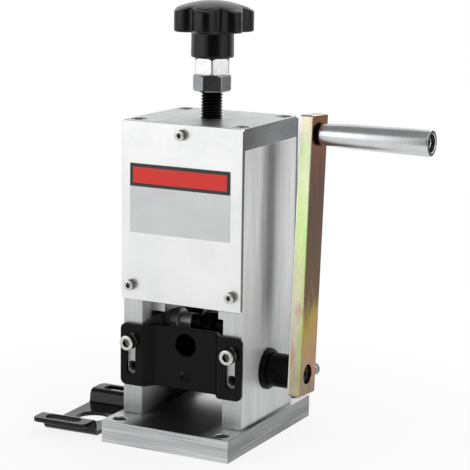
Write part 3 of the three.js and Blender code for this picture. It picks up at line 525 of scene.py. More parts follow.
def turned(
    profile: Sequence[Point],
    origin: Point = (0.0, 0.0, 0.0),
    count: int = 72,
    tube: bool = True,
    part: int | Sequence[int] = 0,
) -> Shell:
    """A turned piece: a profile carried round an axis along X.

    Args:
        profile: distance from the axis, place along it, and rounding, for each corner.
        origin: where the places along it count from.
        count: points round the axis.
        tube: whether the profile's end is joined to its start.
        part: 0 for the first finish and 1 for the second, for all bands or for each.

    Returns:
        Its surface.
    """
    points = rounded(profile)
    if tube:
        points = np.concatenate([points, points[:1]])
    return swept(points, Axis.RIGHT, origin, count, part)


def tube_profile(inner: float, outer: float, start: float, end: float, edge: float) -> list[Point]:
    """The profile of a plain tube with broken outer edges."""
    low = [(inner, start, 0), (outer - edge, start, 0), (outer, start + edge, 0)]
    return [*low, (outer, end - edge, 0), (outer - edge, end, 0), (inner, end, 0)]


def hexagon_radius(flats: float, count: int, turn: float = 0.0) -> Array:
    """Distance to a hexagon's side at each angle: half its width over the cosine from the side's middle.

    Args:
        flats: its width across flats.
        count: of the angles, from 0 on.
        turn: degrees from 0 to a corner.

    Returns:
        One distance for each angle.
    """
    angle = angles(count) - math.radians(turn)
    return flats / 2 / np.cos(np.mod(angle, np.pi / 3) - np.pi / 6)


def softened(values: Array, degrees: float) -> Array:
    """Values round a circle, averaged over a few degrees on each side with a bell-shaped weight."""
    count = len(values)
    offset = np.minimum(np.arange(count), count - np.arange(count)) * 360 / count
    weight = np.exp(-((offset / degrees) ** 2))
    weight = weight / weight.sum()
    return np.real(np.fft.ifft(np.fft.fft(values) * np.fft.fft(weight)))


# Finishes


def linear(code: str) -> tuple[float, float, float, float]:
    """Turns an sRGB hex colour to linear values."""
    level = np.array([int(code[i : i + 2], 16) for i in (0, 2, 4)]) / 255
    value = np.where(level <= 0.04045, level / 12.92, ((level + 0.055) / 1.055) ** 2.4)
    return (*value.tolist(), 1.0)


def add_node(
    tree: Tree,
    kind: str,
    inputs: dict | None = None,
    stops: Sequence = (),
    output: int | str = 0,
    **settings: object,
) -> Socket | None:
    """Adds a shader node with its settings, its values and its links.

    Args:
        tree: to add it to.
        kind: its type, without the first word that all of them share.
        inputs: a value or another node's output for each input.
        stops: place and hex colour of each stop, for a ramp.
        output: which of its outputs is wanted.
        settings: its own settings.

    Returns:
        The output, or nothing for a node that has none.
    """
    made = tree.nodes.new("ShaderNode" + kind)
    for name, value in settings.items():
        setattr(made, name, value)
    for name, value in (inputs or {}).items():
        if isinstance(value, Socket):
            tree.links.new(value, made.inputs[name])
        else:
            made.inputs[name].default_value = value
    for i, (place, code) in enumerate(stops):
        elements = made.color_ramp.elements
        stop = elements[i] if i < 2 else elements.new(place)
        stop.position = place
        stop.color = linear(code)
    return made.outputs[output] if made.outputs else None


def stretch(value: Socket, start: Span, end: Span) -> dict:
    """The inputs that stretch a value evenly from one range to another."""
    ranges = {"From Min": start[0], "From Max": start[1], "To Min": end[0], "To Max": end[1]}
    return {"Value": value} | ranges


def blank_material(name: str) -> bpy.types.Material:
    """A new material without nodes."""
    made = bpy.data.materials.new(name)
    made.use_nodes = True
    made.node_tree.nodes.clear()
    return made


@dataclass(frozen=True)
class Finish:
    """What all finishes have: a name and the record's slot."""

    name: str
    slot: str

    def material(self) -> bpy.types.Material:
        """The finish's material, which is made the first time."""
        if self.name in bpy.data.materials:
            return bpy.data.materials[self.name]
        made = blank_material(self.name)
        add_node(made.node_tree, "OutputMaterial", {"Surface": self.surface(made.node_tree)})
        return made

    def surface(self, tree: Tree) -> Socket:
        """Adds the finish's nodes and returns its shader."""
        raise NotImplementedError

    def grain(self, tree: Tree, size: Point, detail: float = 3.0) -> Socket:
        """Noise whose grains have the given size in millimetres along X, Y and Z."""
        place = add_node(tree, "TexCoord", output="Object")
        scale = tuple(1 / (side * MM) for side in size)
        laid = add_node(tree, "Mapping", {"Vector": place, "Scale": scale})
        return add_node(tree, "TexNoise", {"Vector": laid, "Scale": 1.0, "Detail": detail, "Roughness": 0.6})

    def place(self, tree: Tree, axis: str) -> Socket:
        """The place along an axis."""
        place = add_node(tree, "TexCoord", output="Object")
        return add_node(tree, "SeparateXYZ", {"Vector": place}, output=axis)

    def drift(self, tree: Tree, size: Point, detail: float, start: Span, end: Span) -> Socket:
        """Noise with grains of a size, stretched from one range to another."""
        return add_node(tree, "MapRange", stretch(self.grain(tree, size, detail), start, end))

    def far(self, tree: Tree, axis: str) -> Socket:
        """The distance from the machine's middle plane along an axis."""
        return add_node(tree, "Math", {0: self.place(tree, axis)}, operation="ABSOLUTE")

    def ramp(self, tree: Tree, value: Socket, ends: Span, way: str = "SMOOTHSTEP") -> Socket:
        """A step from 0 at one place to 1 at another, in millimetres."""
        inputs = {"Value": value, "From Min": ends[0] * MM, "From Max": ends[1] * MM}
        return add_node(tree, "MapRange", inputs, interpolation_type=way)

    def product(self, tree: Tree, *shares: Socket | float) -> Socket:
        """The product of shares."""
        made = shares[0]
        for share in shares[1:]:
            made = add_node(tree, "Math", {0: made, 1: share}, operation="MULTIPLY")
        return made


@dataclass(frozen=True)
class GrainedMetal(Finish):
    """Bare metal with the marks of its making: fine streaks, and wide soft clouds of tone."""

    light: str
    dark: str
    roughness: float
    streak: Point
    cloud: Point = (40.0, 40.0, 40.0)
    cloud_share: float = 0.45
    relief: float = 0.02
    anisotropy: float = 0.0

    def colour(self, tree: Tree, tone: Socket) -> Socket:
        """The colour for a tone, from the dark one to the light one."""
        return add_node(tree, "ValToRGB", {"Fac": tone}, ((0.3, self.dark), (0.66, self.light)))

    def gloss(self, tree: Tree, streaks: Socket) -> Socket:
        """The roughness, which is a little less on the light streaks."""
        ends = (self.roughness + 0.06, self.roughness - 0.06)
        return add_node(tree, "MapRange", stretch(streaks, (0.3, 0.7), ends))

    def surface(self, tree: Tree) -> Socket:
        """A metal whose colour, gloss and relief follow the streaks, with clouds mixed into its colour."""
        streaks = self.grain(tree, self.streak, 5.0)
        clouds = self.grain(tree, self.cloud, 1.0)
        tone = add_node(tree, "MixRGB", {"Fac": self.cloud_share, "Color1": streaks, "Color2": clouds})
        bump = {"Height": streaks, "Strength": 0.35, "Distance": self.relief * MM}
        inputs = {
            "Base Color": self.colour(tree, tone),
            "Metallic": 1.0,
            "Roughness": self.gloss(tree, streaks),
            "Anisotropic": self.anisotropy,
            "Normal": add_node(tree, "Bump", bump),
        }
        return add_node(tree, "BsdfPrincipled", inputs)


@dataclass(frozen=True)
class EndedMetal(GrainedMetal):
    """Metal whose faces at the two ends along X have another tone than the rest."""

    end: str = "777879"
    end_x: float = 43.8

    def colour(self, tree: Tree, tone: Socket) -> Socket:
        """The metal's colour, and the ends' colour with the same grain."""
        plain = super().colour(tree, tone)
        share = self.ramp(tree, self.far(tree, "X"), (self.end_x - 0.05, self.end_x + 0.05))
        end_tone = {"Fac": share, "Color1": plain, "Color2": linear(self.end)}
        return add_node(tree, "MixRGB", end_tone, blend_type="MULTIPLY")


@dataclass(frozen=True)
class ShadedBar(EndedMetal):
    """The base's bar: darker ends, and painted shade and dark reflection on its top between the side plates.

    A pair of places is where a share is 0 and where it is 1.
    """

    # The painted shade and dark reflection between the side plates: colour, share, roughness and reach.
    painted_shade: str = "2c2c2d"
    painted_shade_share: float = 0.92
    painted_shade_gloss: float = 0.56
    painted_shade_x: float = 2.5
    painted_shade_side: Span = (36.0, 20.0)
    painted_shade_deep: Span = (46.0, 26.0)
    sway: float = 4.0
    top: Span = (14.9, 15.0)
    unshaded_x: Span = (-24.0, -14.0)
    unshaded_y: Span = (-22.0, 40.0)

    def gloss(self, tree: Tree, streaks: Socket) -> Socket:
        """The bar's roughness, and a higher one where the painted shade lies."""
        grey = (self.painted_shade_gloss, self.painted_shade_gloss, self.painted_shade_gloss, 1.0)
        mix = {"Fac": self.shaded(tree), "Color1": super().gloss(tree, streaks), "Color2": grey}
        return add_node(tree, "MixRGB", mix)

    def shaded(self, tree: Tree) -> Socket:
        """How much painted shade lies at a place: it fills the gap and spreads in front, but not deep inside.
        """
        off = {0: self.place(tree, "X"), 1: self.painted_shade_x * -MM}
        span = add_node(tree, "Math", {0: add_node(tree, "Math", off, operation="ADD")}, operation="ABSOLUTE")
        sway = self.drift(tree, (14.0, 14.0, 14.0), 3.0, (0, 1), (-self.sway * MM, self.sway * MM))
        across = add_node(tree, "Math", {0: span, 1: sway}, operation="ADD")
        deep = self.ramp(tree, self.far(tree, "Y"), self.painted_shade_deep)
        near = {0: self.ramp(tree, across, self.painted_shade_side), 1: deep}
        side = add_node(tree, "Math", near, operation="MAXIMUM")
        top = self.ramp(tree, self.place(tree, "Z"), self.top)
        right = self.ramp(tree, self.place(tree, "X"), self.unshaded_x)
        unshaded = self.product(tree, right, self.ramp(tree, self.place(tree, "Y"), self.unshaded_y))
        left = add_node(tree, "Math", {0: 1.0, 1: unshaded}, operation="SUBTRACT")
        return self.product(tree, side, top, left, self.painted_shade_share)

    def colour(self, tree: Tree, tone: Socket) -> Socket:
        """The bar's colour, and the painted shade's colour where it lies."""
        mix = {"Fac": self.shaded(tree), "Color1": super().colour(tree, tone), "Color2": linear(self.painted_shade)}
        return add_node(tree, "MixRGB", mix)


@dataclass(frozen=True)
class BandedPlate(EndedMetal):
    """A brushed plate: a painted dark reflection as a band along the brushing outside, painted shade inside.

    A pair of places is where a share is 0 and where it is 1.
    """

    # band: colour of the painted dark reflection down the middle of the plate's outer face.
    band: str = "a0a1a2"
    middle: float = -1.0
    reach: float = 16.0
    sway: float = 7.0
    reflection_z: Span = (60.0, 105.0)
    # The plate is multiplied darker towards the bottom.
    lower_tone: str = "d9d9d9"
    lower_tone_z: Span = (150.0, 50.0)
    # Painted shade on the inner face between the plates, growing towards the rear.
    painted_shade: str = "161617"
    painted_shade_x: Span = (30.4, 30.1)
    painted_shade_y: Span = (-39.0, 4.0)
    narrow_y: Span = (37.3, 37.4)

    def colour(self, tree: Tree, tone: Socket) -> Socket:
        """The outside's colour, the painted shade inside, and the sawn colour on the narrow faces."""
        inner = self.ramp(tree, self.far(tree, "X"), self.painted_shade_x)
        deep = self.ramp(tree, self.place(tree, "Y"), self.painted_shade_y)
        mix = {"Fac": self.product(tree, inner, deep), "Color1": self.outside(tree, tone)}
        darkened = add_node(tree, "MixRGB", mix | {"Color2": linear(self.painted_shade)})
        edge = self.ramp(tree, self.far(tree, "Y"), self.narrow_y)
        sawn = {"Fac": edge, "Color1": darkened, "Color2": linear(self.end)}
        return add_node(tree, "MixRGB", sawn, blend_type="MULTIPLY")

    def outside(self, tree: Tree, tone: Socket) -> Socket:
        """The colour, mixed towards the painted dark reflection near the middle line, and darker lower down.
        """
        sway = self.drift(tree, (200.0, 7.0, 90.0), 4.0, (0, 1), (-self.sway * MM, self.sway * MM))
        across = add_node(tree, "Math", {0: self.place(tree, "Y"), 1: sway}, operation="ADD")
        away = add_node(tree, "Math", {0: across, 1: -self.middle * MM}, operation="ADD")
        far = add_node(tree, "Math", {0: away}, operation="ABSOLUTE")
        near = self.ramp(tree, far, (self.reach, 0.0))
        share = self.product(tree, near, self.ramp(tree, self.place(tree, "Z"), self.reflection_z))
        mix = {"Fac": share, "Color1": GrainedMetal.colour(self, tree, tone), "Color2": linear(self.band)}
        lower_tone = self.ramp(tree, self.place(tree, "Z"), self.lower_tone_z)
        dull = {"Fac": lower_tone, "Color1": add_node(tree, "MixRGB", mix), "Color2": linear(self.lower_tone)}
        return add_node(tree, "MixRGB", dull, blend_type="MULTIPLY")


@dataclass(frozen=True)
class ChromatedZinc(Finish):
    """Yellow-chromated zinc: a thin film over bright zinc, pale green and pink on edges, olive on faces.

    The pale narrow sides and the dark brown outer face are partly the film's tints and partly painted
    light and shade. The inner face is painted a pale neutral, a painted lightening for the side plate
    to mirror.

    The tints change along the arm, from its lower end at 0 to its upper one at 1. Of a ramp's stops,
    the two ends come first, because a new ramp has those two.
    """

    lean: float = 3.6
    pivot: float = 48.2
    arm: Span = (-13.6, 170.1)
    rim: Span = (11.5, 11.7)
    top: Span = (169.6, 169.8)
    back: Span = (66.0, 65.5)
    middle_x: float = 69.0
    roughness: float = 0.27
    broad: tuple = (
        (0.0, "706850"), (1.0, "784422"), (0.12, "9a7c54"), (0.21, "a08044"), (0.29, "9c8628"),
        (0.37, "56380e"), (0.7, "4c2a0a"),
    )
    core: tuple = (
        (0.0, "b09a98"), (1.0, "cfc2b2"), (0.15, "c4b8a8"), (0.3, "d4ceb8"), (0.5, "c6d994"),
        (0.72, "b7d58d"), (0.82, "b9cf9e"), (0.92, "cbc4b0"),
    )
    border: tuple = (
        (0.0, "9fb064"), (1.0, "c8bda8"), (0.15, "aabd76"), (0.3, "bccc86"), (0.5, "bdd58a"),
        (0.72, "b3d68b"), (0.83, "b6c79a"), (0.93, "c6bfa8"),
    )

    def narrow(self, tree: Tree, share: Socket, x: Socket) -> Socket:
        """The tint of the narrow sides: the core's, and the border's near the broad faces."""
        core = add_node(tree, "ValToRGB", {"Fac": share}, self.core)
        border = add_node(tree, "ValToRGB", {"Fac": share}, self.border)
        centre = add_node(tree, "Math", {0: x, 1: -self.middle_x * MM}, operation="ADD")
        reach = add_node(tree, "Math", {0: centre}, operation="ABSOLUTE")
        sway = self.drift(tree, (4.0, 4.0, 34.0), 3.0, (0.3, 0.7), (-2 * MM, 2 * MM))
        spot = add_node(tree, "Math", {0: reach, 1: sway}, operation="ADD")
        outer = self.ramp(tree, spot, (1.2, 4.2))
        return add_node(tree, "MixRGB", {"Fac": outer, "Color1": core, "Color2": border})

    def stained(self, tree: Tree, tint: Socket, share: Socket, side: Socket) -> Socket:
        """The tint with a pink blush on the narrow sides and rose stains near the lower end."""
        blush = self.drift(tree, (14.0, 5.0, 30.0), 2.0, (0.42, 0.62), (0.0, 0.3))
        pink = {"Fac": self.product(tree, blush, side), "Color1": tint, "Color2": linear("e2ccc0")}
        stain = self.drift(tree, (7.0, 7.0, 22.0), 2.0, (0.5, 0.66), (0.0, 0.55))
        low = add_node(tree, "MapRange", stretch(share, (0.42, 0.3), (0.0, 1.0)))
        rose = {"Fac": self.product(tree, stain, low), "Color1": add_node(tree, "MixRGB", pink)}
        return add_node(tree, "MixRGB", rose | {"Color2": linear("b27a70")})

    def surface(self, tree: Tree) -> Socket:
        """A metal whose tint changes along the bar, and is another on its pale sides."""
        turn = Matrix.Rotation(math.radians(self.lean), 3, "X")
        shift = -(turn @ Vector((0, 0, self.pivot * MM)))
        own = {"Location": tuple(shift), "Rotation": (math.radians(self.lean), 0, 0)}
        laid = add_node(tree, "Mapping", own | {"Vector": add_node(tree, "TexCoord", output="Object")})
        x, y, z = (add_node(tree, "SeparateXYZ", {"Vector": laid}, output=axis) for axis in "XYZ")
        film = self.drift(tree, (9.0, 9.0, 46.0), 3.0, (0.25, 0.75), (-0.09, 0.09))
        share = add_node(tree, "Math", {0: self.ramp(tree, z, self.arm, "LINEAR"), 1: film}, operation="ADD")
        far = add_node(tree, "Math", {0: y}, operation="ABSOLUTE")
        pale = {0: self.ramp(tree, far, self.rim, "LINEAR"), 1: self.ramp(tree, z, self.top, "LINEAR")}
        side = add_node(tree, "Math", pale, operation="MAXIMUM")
        # The outer face's browns: partly the film's tint, partly painted shade.
        broad = add_node(tree, "ValToRGB", {"Fac": share}, self.broad)
        tint = add_node(tree, "MixRGB", {"Fac": side, "Color1": broad, "Color2": self.narrow(tree, share, x)})
        stained = self.stained(tree, tint, share, side)
        # The inner face takes a pale neutral, a painted lightening that the side plate mirrors.
        back = {"Fac": self.ramp(tree, x, self.back, "LINEAR"), "Color1": stained}
        scratch = self.grain(tree, (0.5, 0.5, 14.0), 4.0)
        gloss = (self.roughness + 0.05, self.roughness - 0.05)
        inputs = {
            "Base Color": add_node(tree, "MixRGB", back | {"Color2": linear("dcd9d2")}),
            "Metallic": 1.0,
            "Roughness": add_node(tree, "MapRange", stretch(scratch, (0.3, 0.7), gloss)),
            "Normal": add_node(tree, "Bump", {"Height": scratch, "Strength": 0.25, "Distance": 0.015 * MM}),
        }
        return add_node(tree, "BsdfPrincipled", inputs)


@dataclass(frozen=True)
class Coating(Finish):
    """Paint, plastic or a black oxide film: a dark coat with a fine skin and a little dust in its tone."""

    colour: str
    worn: str
    roughness: float
    specular: float
    skin: float
    relief: float
    coat: float = 0.0

    def surface(self, tree: Tree) -> Socket:
        """A coat whose tone varies softly and whose skin has a fine relief."""
        clouds = self.grain(tree, (22.0, 22.0, 22.0), 4.0)
        skin = self.grain(tree, (self.skin, self.skin, self.skin), 2.0)
        gloss = (self.roughness - 0.04, self.roughness + 0.04)
        tones = ((0.35, self.colour), (0.8, self.worn))
        inputs = {
            "Base Color": add_node(tree, "ValToRGB", {"Fac": clouds}, tones),
            "Roughness": add_node(tree, "MapRange", stretch(clouds, (0.3, 0.7), gloss)),
            "Specular IOR Level": self.specular,
            "Coat Weight": self.coat,
            "Coat Roughness": self.roughness,
            "Normal": add_node(tree, "Bump", {"Height": skin, "Strength": 0.3, "Distance": self.relief * MM}),
        }
        return add_node(tree, "BsdfPrincipled", inputs)


@dataclass(frozen=True)
class LabelFilm(Finish):
    """Printed vinyl film: a pale field, a black head band, and a plain red stripe in the band."""

    top: float
    band: float
    stripe_height: float
    middle_x: float
    stripe_width: float
    field: tuple[str, str] = ("d6d7d8", "e2e3e3")
    head: str = "2a2f33"
    stripe: str = "e0332a"

    def surface(self, tree: Tree) -> Socket:
        """The three areas, told apart by their height and their distance from the middle line."""

        def within(axis: str, centre: float, half: float) -> Socket:
            """1 where the place along the axis is less than half from the centre."""
            inputs = {0: self.place(tree, axis), 1: centre * MM, 2: half * MM}
            return add_node(tree, "Math", inputs, operation="COMPARE")

        rise = within("Z", self.top - self.band / 2, self.stripe_height / 2)
        stripe = self.product(tree, rise, within("X", self.middle_x, self.stripe_width / 2))
        cloud = self.grain(tree, (25.0, 25.0, 25.0), 2.0)
        field = add_node(tree, "ValToRGB", {"Fac": cloud}, ((0.3, self.field[0]), (0.8, self.field[1])))
        dark = {"Fac": within("Z", self.top, self.band), "Color1": field, "Color2": linear(self.head)}
        red = {"Fac": stripe, "Color1": add_node(tree, "MixRGB", dark), "Color2": linear(self.stripe)}
        skin = self.grain(tree, (1.2, 1.2, 1.2), 2.0)
        inputs = {
            "Base Color": add_node(tree, "MixRGB", red),
            "Roughness": add_node(tree, "MapRange", stretch(cloud, (0, 1), (0.36, 0.46))),
            "Specular IOR Level": 0.4,
            "Normal": add_node(tree, "Bump", {"Height": skin, "Strength": 0.15, "Distance": 0.02 * MM}),
        }
        return add_node(tree, "BsdfPrincipled", inputs)


# Wiped, fine-blasted sheet: almost white, with soft clouds and hardly any grain.
COVER_SHEET = EndedMetal(
    "satin aluminium sheet", "satin_aluminium", "e8e8e8", "dbdcdc", 0.34, (5.0, 5.0, 5.0), (34, 34, 34), 0.7,
    end="8c8d8e",
)
# Sawn and brushed bar: grey, with streaks along its length that show as lines of light. They are
# drawn coarser than real.
# Its top between the side plates carries painted shade and painted dark reflection.
BASE_BAR = ShadedBar(
    "sawn aluminium bar", "satin_aluminium", "dadbdb", "858688", 0.3, (60.0, 60.0, 0.9), (80, 80, 5), 0.35,
    end="b4b4b4", end_x=46.8,
)
# Belt-brushed plate: vertical hairlines, light at its edges, with a painted dark reflection down its middle
# and painted shade on its inner face. The hairlines are drawn coarser than real, and the fine ones are left
# to the drawn-out mirror images.
SIDE_PLATE = BandedPlate(
    "brushed aluminium plate", "brushed_aluminium", "fbfcfc", "dcddde", 0.52, (0.5, 0.6, 60.0),
    (40, 7, 90), 0.42, end="fcfcfc", anisotropy=0.85,
)
# Milled plate: darker than the rest, with clouds of tone along its edges. Its faces at the two ends along X
# are darker still, a painted dark reflection.
TOP_PLATE = EndedMetal(
    "milled aluminium plate", "top_aluminium", "d2d3d4", "aeafb0", 0.36, (1.2, 30.0, 6.0), (30, 30, 16), 0.5,
    end="a6a7a8",
)
# Machined aluminium inside: a plain light grey with short tool marks.
CARRIAGE_BLOCK = GrainedMetal(
    "machined aluminium block", "satin_aluminium", "cbcccd", "b3b4b5", 0.36, (0.8, 6.0, 0.8),
    (25, 25, 25), 0.5,
)
# Drilled or tapped wall in aluminium, below its rim: darker, a painted shade in the hole.
BORE_SHADE = GrainedMetal("drilled aluminium with painted shade", "satin_aluminium", "8a8a8b", "5a5a5b", 0.5, (2.0, 2.0, 2.0))
# Straight knurling and pressed sockets: darker, a painted shade over the knurled side and in the socket.
KNURL_SHADE = GrainedMetal("dark knurled steel", "bright_steel", "8a8987", "4a4948", 0.36, (1.0, 1.0, 1.0))
# Nickel plate: warm, bright and smooth, so it shows its surroundings in small sharp patches.
NICKEL = GrainedMetal(
    "nickel-plated steel", "bright_steel", "d2d1ce", "b4b3b0", 0.2, (2.5, 2.5, 2.5), (9, 9, 9), 0.5, 0.006
)
# Grip's end: a painted dark reflection on its end ring and painted shade in its recess, so that the rim
# round it stands out.
END_SHADE = GrainedMetal("oiled turned end", "dark_steel", "4a4a4b", "303031", 0.4, (0.6, 0.6, 0.6))
# Bright zinc: white and a little milky.
BRIGHT_ZINC = GrainedMetal(
    "bright zinc-plated steel", "bright_steel", "dcdcdc", "cecece", 0.28, (3.0, 3.0, 3.0),
    (10, 10, 10), 0.5, 0.01,
)
# Turned steel, polished along its turning: very fine rings round the grip, drawn coarser than real.
TURNED_STEEL = GrainedMetal(
    "polished turned steel", "brushed_steel", "d6d7d8", "c2c3c4", 0.27, (25.0, 0.7, 0.7),
    (18, 60, 60), 0.4, 0.002,
)
# Steel with a burnt, oiled surface: dark grey that still mirrors.
DARK_STEEL = GrainedMetal(
    "oiled dark steel", "dark_steel", "a0a1a2", "86878a", 0.2, (1.5, 1.5, 4.0), (12, 12, 12), 0.5, 0.01
)
# Bright steel inside the machine, under old grease: dull.
GREASED_STEEL = GrainedMetal(
    "greased steel", "dark_steel", "dcdcdd", "bcbdbe", 0.5, (1.5, 1.5, 1.5), (8, 8, 8), 0.5, 0.01
)
# Ground tool steel: fine rings, drawn coarser than real, and a bright edge.
BLADE_STEEL = GrainedMetal(
    "ground tool steel", "blade_steel", "b9bbbe", "94969a", 0.2, (8.0, 0.4, 0.4), (12, 12, 12), 0.4, 0.006
)
# Sintered bronze: warm, dull and finely spotted, with spots that are drawn coarser than its pores.
BRONZE = GrainedMetal("sintered bronze", "bronze", "b98a48", "8d6430", 0.42, (0.4, 0.4, 0.4), (6, 6, 6), 0.3)
# Black oxide on turned steel: a blue-black film that mirrors softly at a low angle.
BLACK_OXIDE = Coating("black oxide on steel", "black_oxide", "040405", "08080a", 0.34, 0.08, 0.8, 0.01)
# Powder coat on bent sheet: near black with an even, satin skin.
BLACK_POWDER = Coating("black powder coat", "black_paint", "060607", "0b0b0c", 0.3, 0.12, 0.7, 0.02)
# Stoved enamel on bent sheet: black and glossy, so flat tops turn pale at a low angle.
BLACK_ENAMEL = Coating(
    "black stoved enamel", "black_paint", "040405", "070709", 0.1, 0.1, 4.0, 0.01, coat=0.4
)
# Moulded phenolic: deep black, glossy, with long clean highlights.
PHENOLIC = Coating(
    "moulded black phenolic", "black_plastic", "040405", "070708", 0.25, 0.1, 3.0, 0.01, coat=0.42
)
# Yellow chromate on zinc plate: green, pink and olive in turn, where the film grows thicker.
YELLOW_ZINC = ChromatedZinc("yellow-chromated zinc", "zinc_plated_steel")
# Printed vinyl film: pale grey and a little glossy, with flat inks and a hardly visible orange peel.
LABEL = LabelFilm("printed vinyl film", "label_film", 184.3, 15.0, 10.4, -1.1, 68.5)


# Sub-assemblies


@dataclass
class Assembly:
    """A sub-assembly, whose pieces stand for nodes of the frame and move with their bodies.

    Its own fields are the places that more than one sub-assembly needs.
    """

    plate_x: float = 37.0
    face_y: float = 37.5
    top_y: float = 31.0
    base_y: float = 22.0
    crank_z: float = 48.2
    guide_z: float = 65.0
    cover_low: float = 103.5
    cover_high: float = 205.0

    def add(
        self, shell: Shell, node: str, finish: Finish, smooth: float = 32.0, second: Finish | None = None
    ) -> None:
        """Makes a piece that stands for a node.

        Args:
            shell: its surface.
            node: the node that it stands for.
            finish: what it is dressed in.
            smooth: degrees between two faces up to which the edge between them looks round.
            second: the finish of its bores, knurling or socket, where that is another one.
        """
        if second is None:
            shell.parts = [part * 0 for part in shell.parts]
        piece = make_object(f"{node}_finished", shell, smooth)
        piece.data.materials.append(finish.material())
        if second is not None:
            piece.data.materials.append(second.material())
        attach(piece, BODY_OF[node])
        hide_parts(node)
        LOG.info("%s: %d faces, %s", piece.name, len(piece.data.polygons), finish.name)

    def keep(self, node: str, finish: Finish) -> None:
        """Dresses a node whose own shape stays."""
        carried = frame["nodes"][node]
        carried.data.materials.clear()
        carried.data.materials.append(finish.material())
        LOG.info("%s: kept, %s", node, finish.name)


@dataclass
class ScrewSize:
    """A socket head screw: its thread, head and socket."""

    thread: float
    head: float
    head_height: float
    socket: float
    length: float
    pitch: float = 0.0


M6 = ScrewSize(6, 10, 6, 5, 20)
M6_SHORT = ScrewSize(6, 10, 6, 5, 16)
M4 = ScrewSize(4, 7, 4, 3, 10)
CLAMP_SCREW = ScrewSize(5, 8.5, 5, 4, 8.35, 0.8)


@dataclass
class Fasteners(Assembly):
    """All the socket screws, at the seats that the frame gives them."""

    top_seat: float = 205.5
    base_seat: float = 6.5
    cover_y: float = 40.5
    guide_y: float = 40.8
    retainer_x: float = 15.0
    retainer_seat: float = 154.0
    columns: int = 120
    knurls: int = 30

    def screw(self, size: ScrewSize, axis: Axis, seat: Point) -> Shell:
        """A socket head screw.

        Its head's side has straight knurls: the radius falls by 0.2 mm half-way between two crests.
        The socket's rim is a hexagon, and its floor a shallow cone. Where the size has a pitch, the
        shank is a screw thread: its radius falls by a triangle wave of along over pitch less turns.

        Args:
            size: of the screw.
            axis: the way its head points.
            seat: the middle of the head's underside.

        Returns:
            Its surface.
        """
        turns = np.linspace(0, 1, self.columns, endpoint=False)
        wave = np.abs(np.mod(turns * self.knurls, 1.0) - 0.5) * 2
        hexagon = hexagon_radius(size.socket, self.columns)
        shank, head, top = size.thread / 2, size.head / 2, size.head_height
        rows = [(0, -size.length, 0), (shank - 0.5, -size.length, 0)]
        if size.pitch:
            for along in np.arange(-size.length + 0.5, 0.0, size.pitch / 6):
                phase = np.mod(along / size.pitch - turns, 1.0)
                rows.append((shank - size.pitch * 0.6 * np.abs(phase - 0.5) * 2, along, 0))
        else:
            rows.append((shank, -size.length + 0.5, 0))
        rows += [(shank, 0, 0), (head - 0.35, 0, 0), (head, 0.35, 1)]
        rows += [(head - 0.2 * wave, place, 1) for place in (0.45, top - 0.75)]
        rows += [(head, top - 0.62, 0), (head - 0.12, top - 0.3, 0), (head - 0.45, top - 0.05, 0)]
        rows += [(head - 0.8, top, 0), (hexagon + 0.3, top, 0), (hexagon, top - 0.3, 1)]
        rows += [(hexagon, top * 0.45, 1), (hexagon * 0.3, top * 0.35, 1), (0, top * 0.3, 1)]
        return swept(rows, axis, seat, self.columns, [row[2] for row in rows[:-1]])

    def build(self) -> None:
        """Makes every screw of the frame and the carriage."""
        ends = (("front", -1, Axis.FRONT), ("rear", 1, Axis.REAR))
        screws = []
        for side, sx in (("left", -1), ("right", 1)):
            x = sx * self.plate_x
            for end, sy, axis in ends:
                screws += [
                    (f"top_screw_{end}_{side}", M6, Axis.UP, (x, sy * self.top_y, self.top_seat)),
                    (f"base_screw_{end}_{side}", M6, Axis.DOWN, (x, sy * self.base_y, self.base_seat)),
                    (f"{end}_cover_screw_{side}", M4, axis, (x, sy * self.cover_y, self.cover_low)),
                    (f"{end}_guide_screw_{side}", M6_SHORT, axis, (x, sy * self.guide_y, self.guide_z)),
                ]
            seat = (sx * self.retainer_x, 0, self.retainer_seat)
            screws.append((f"retainer_screw_{side}", M4, Axis.UP, seat))
        for end, sy, axis in ends:
            screws.append((f"{end}_cover_screw_top", M4, axis, (0, sy * self.cover_y, self.cover_high)))
        for node, size, axis, seat in screws:
            self.add(self.screw(size, axis, seat), node, NICKEL, second=KNURL_SHADE)


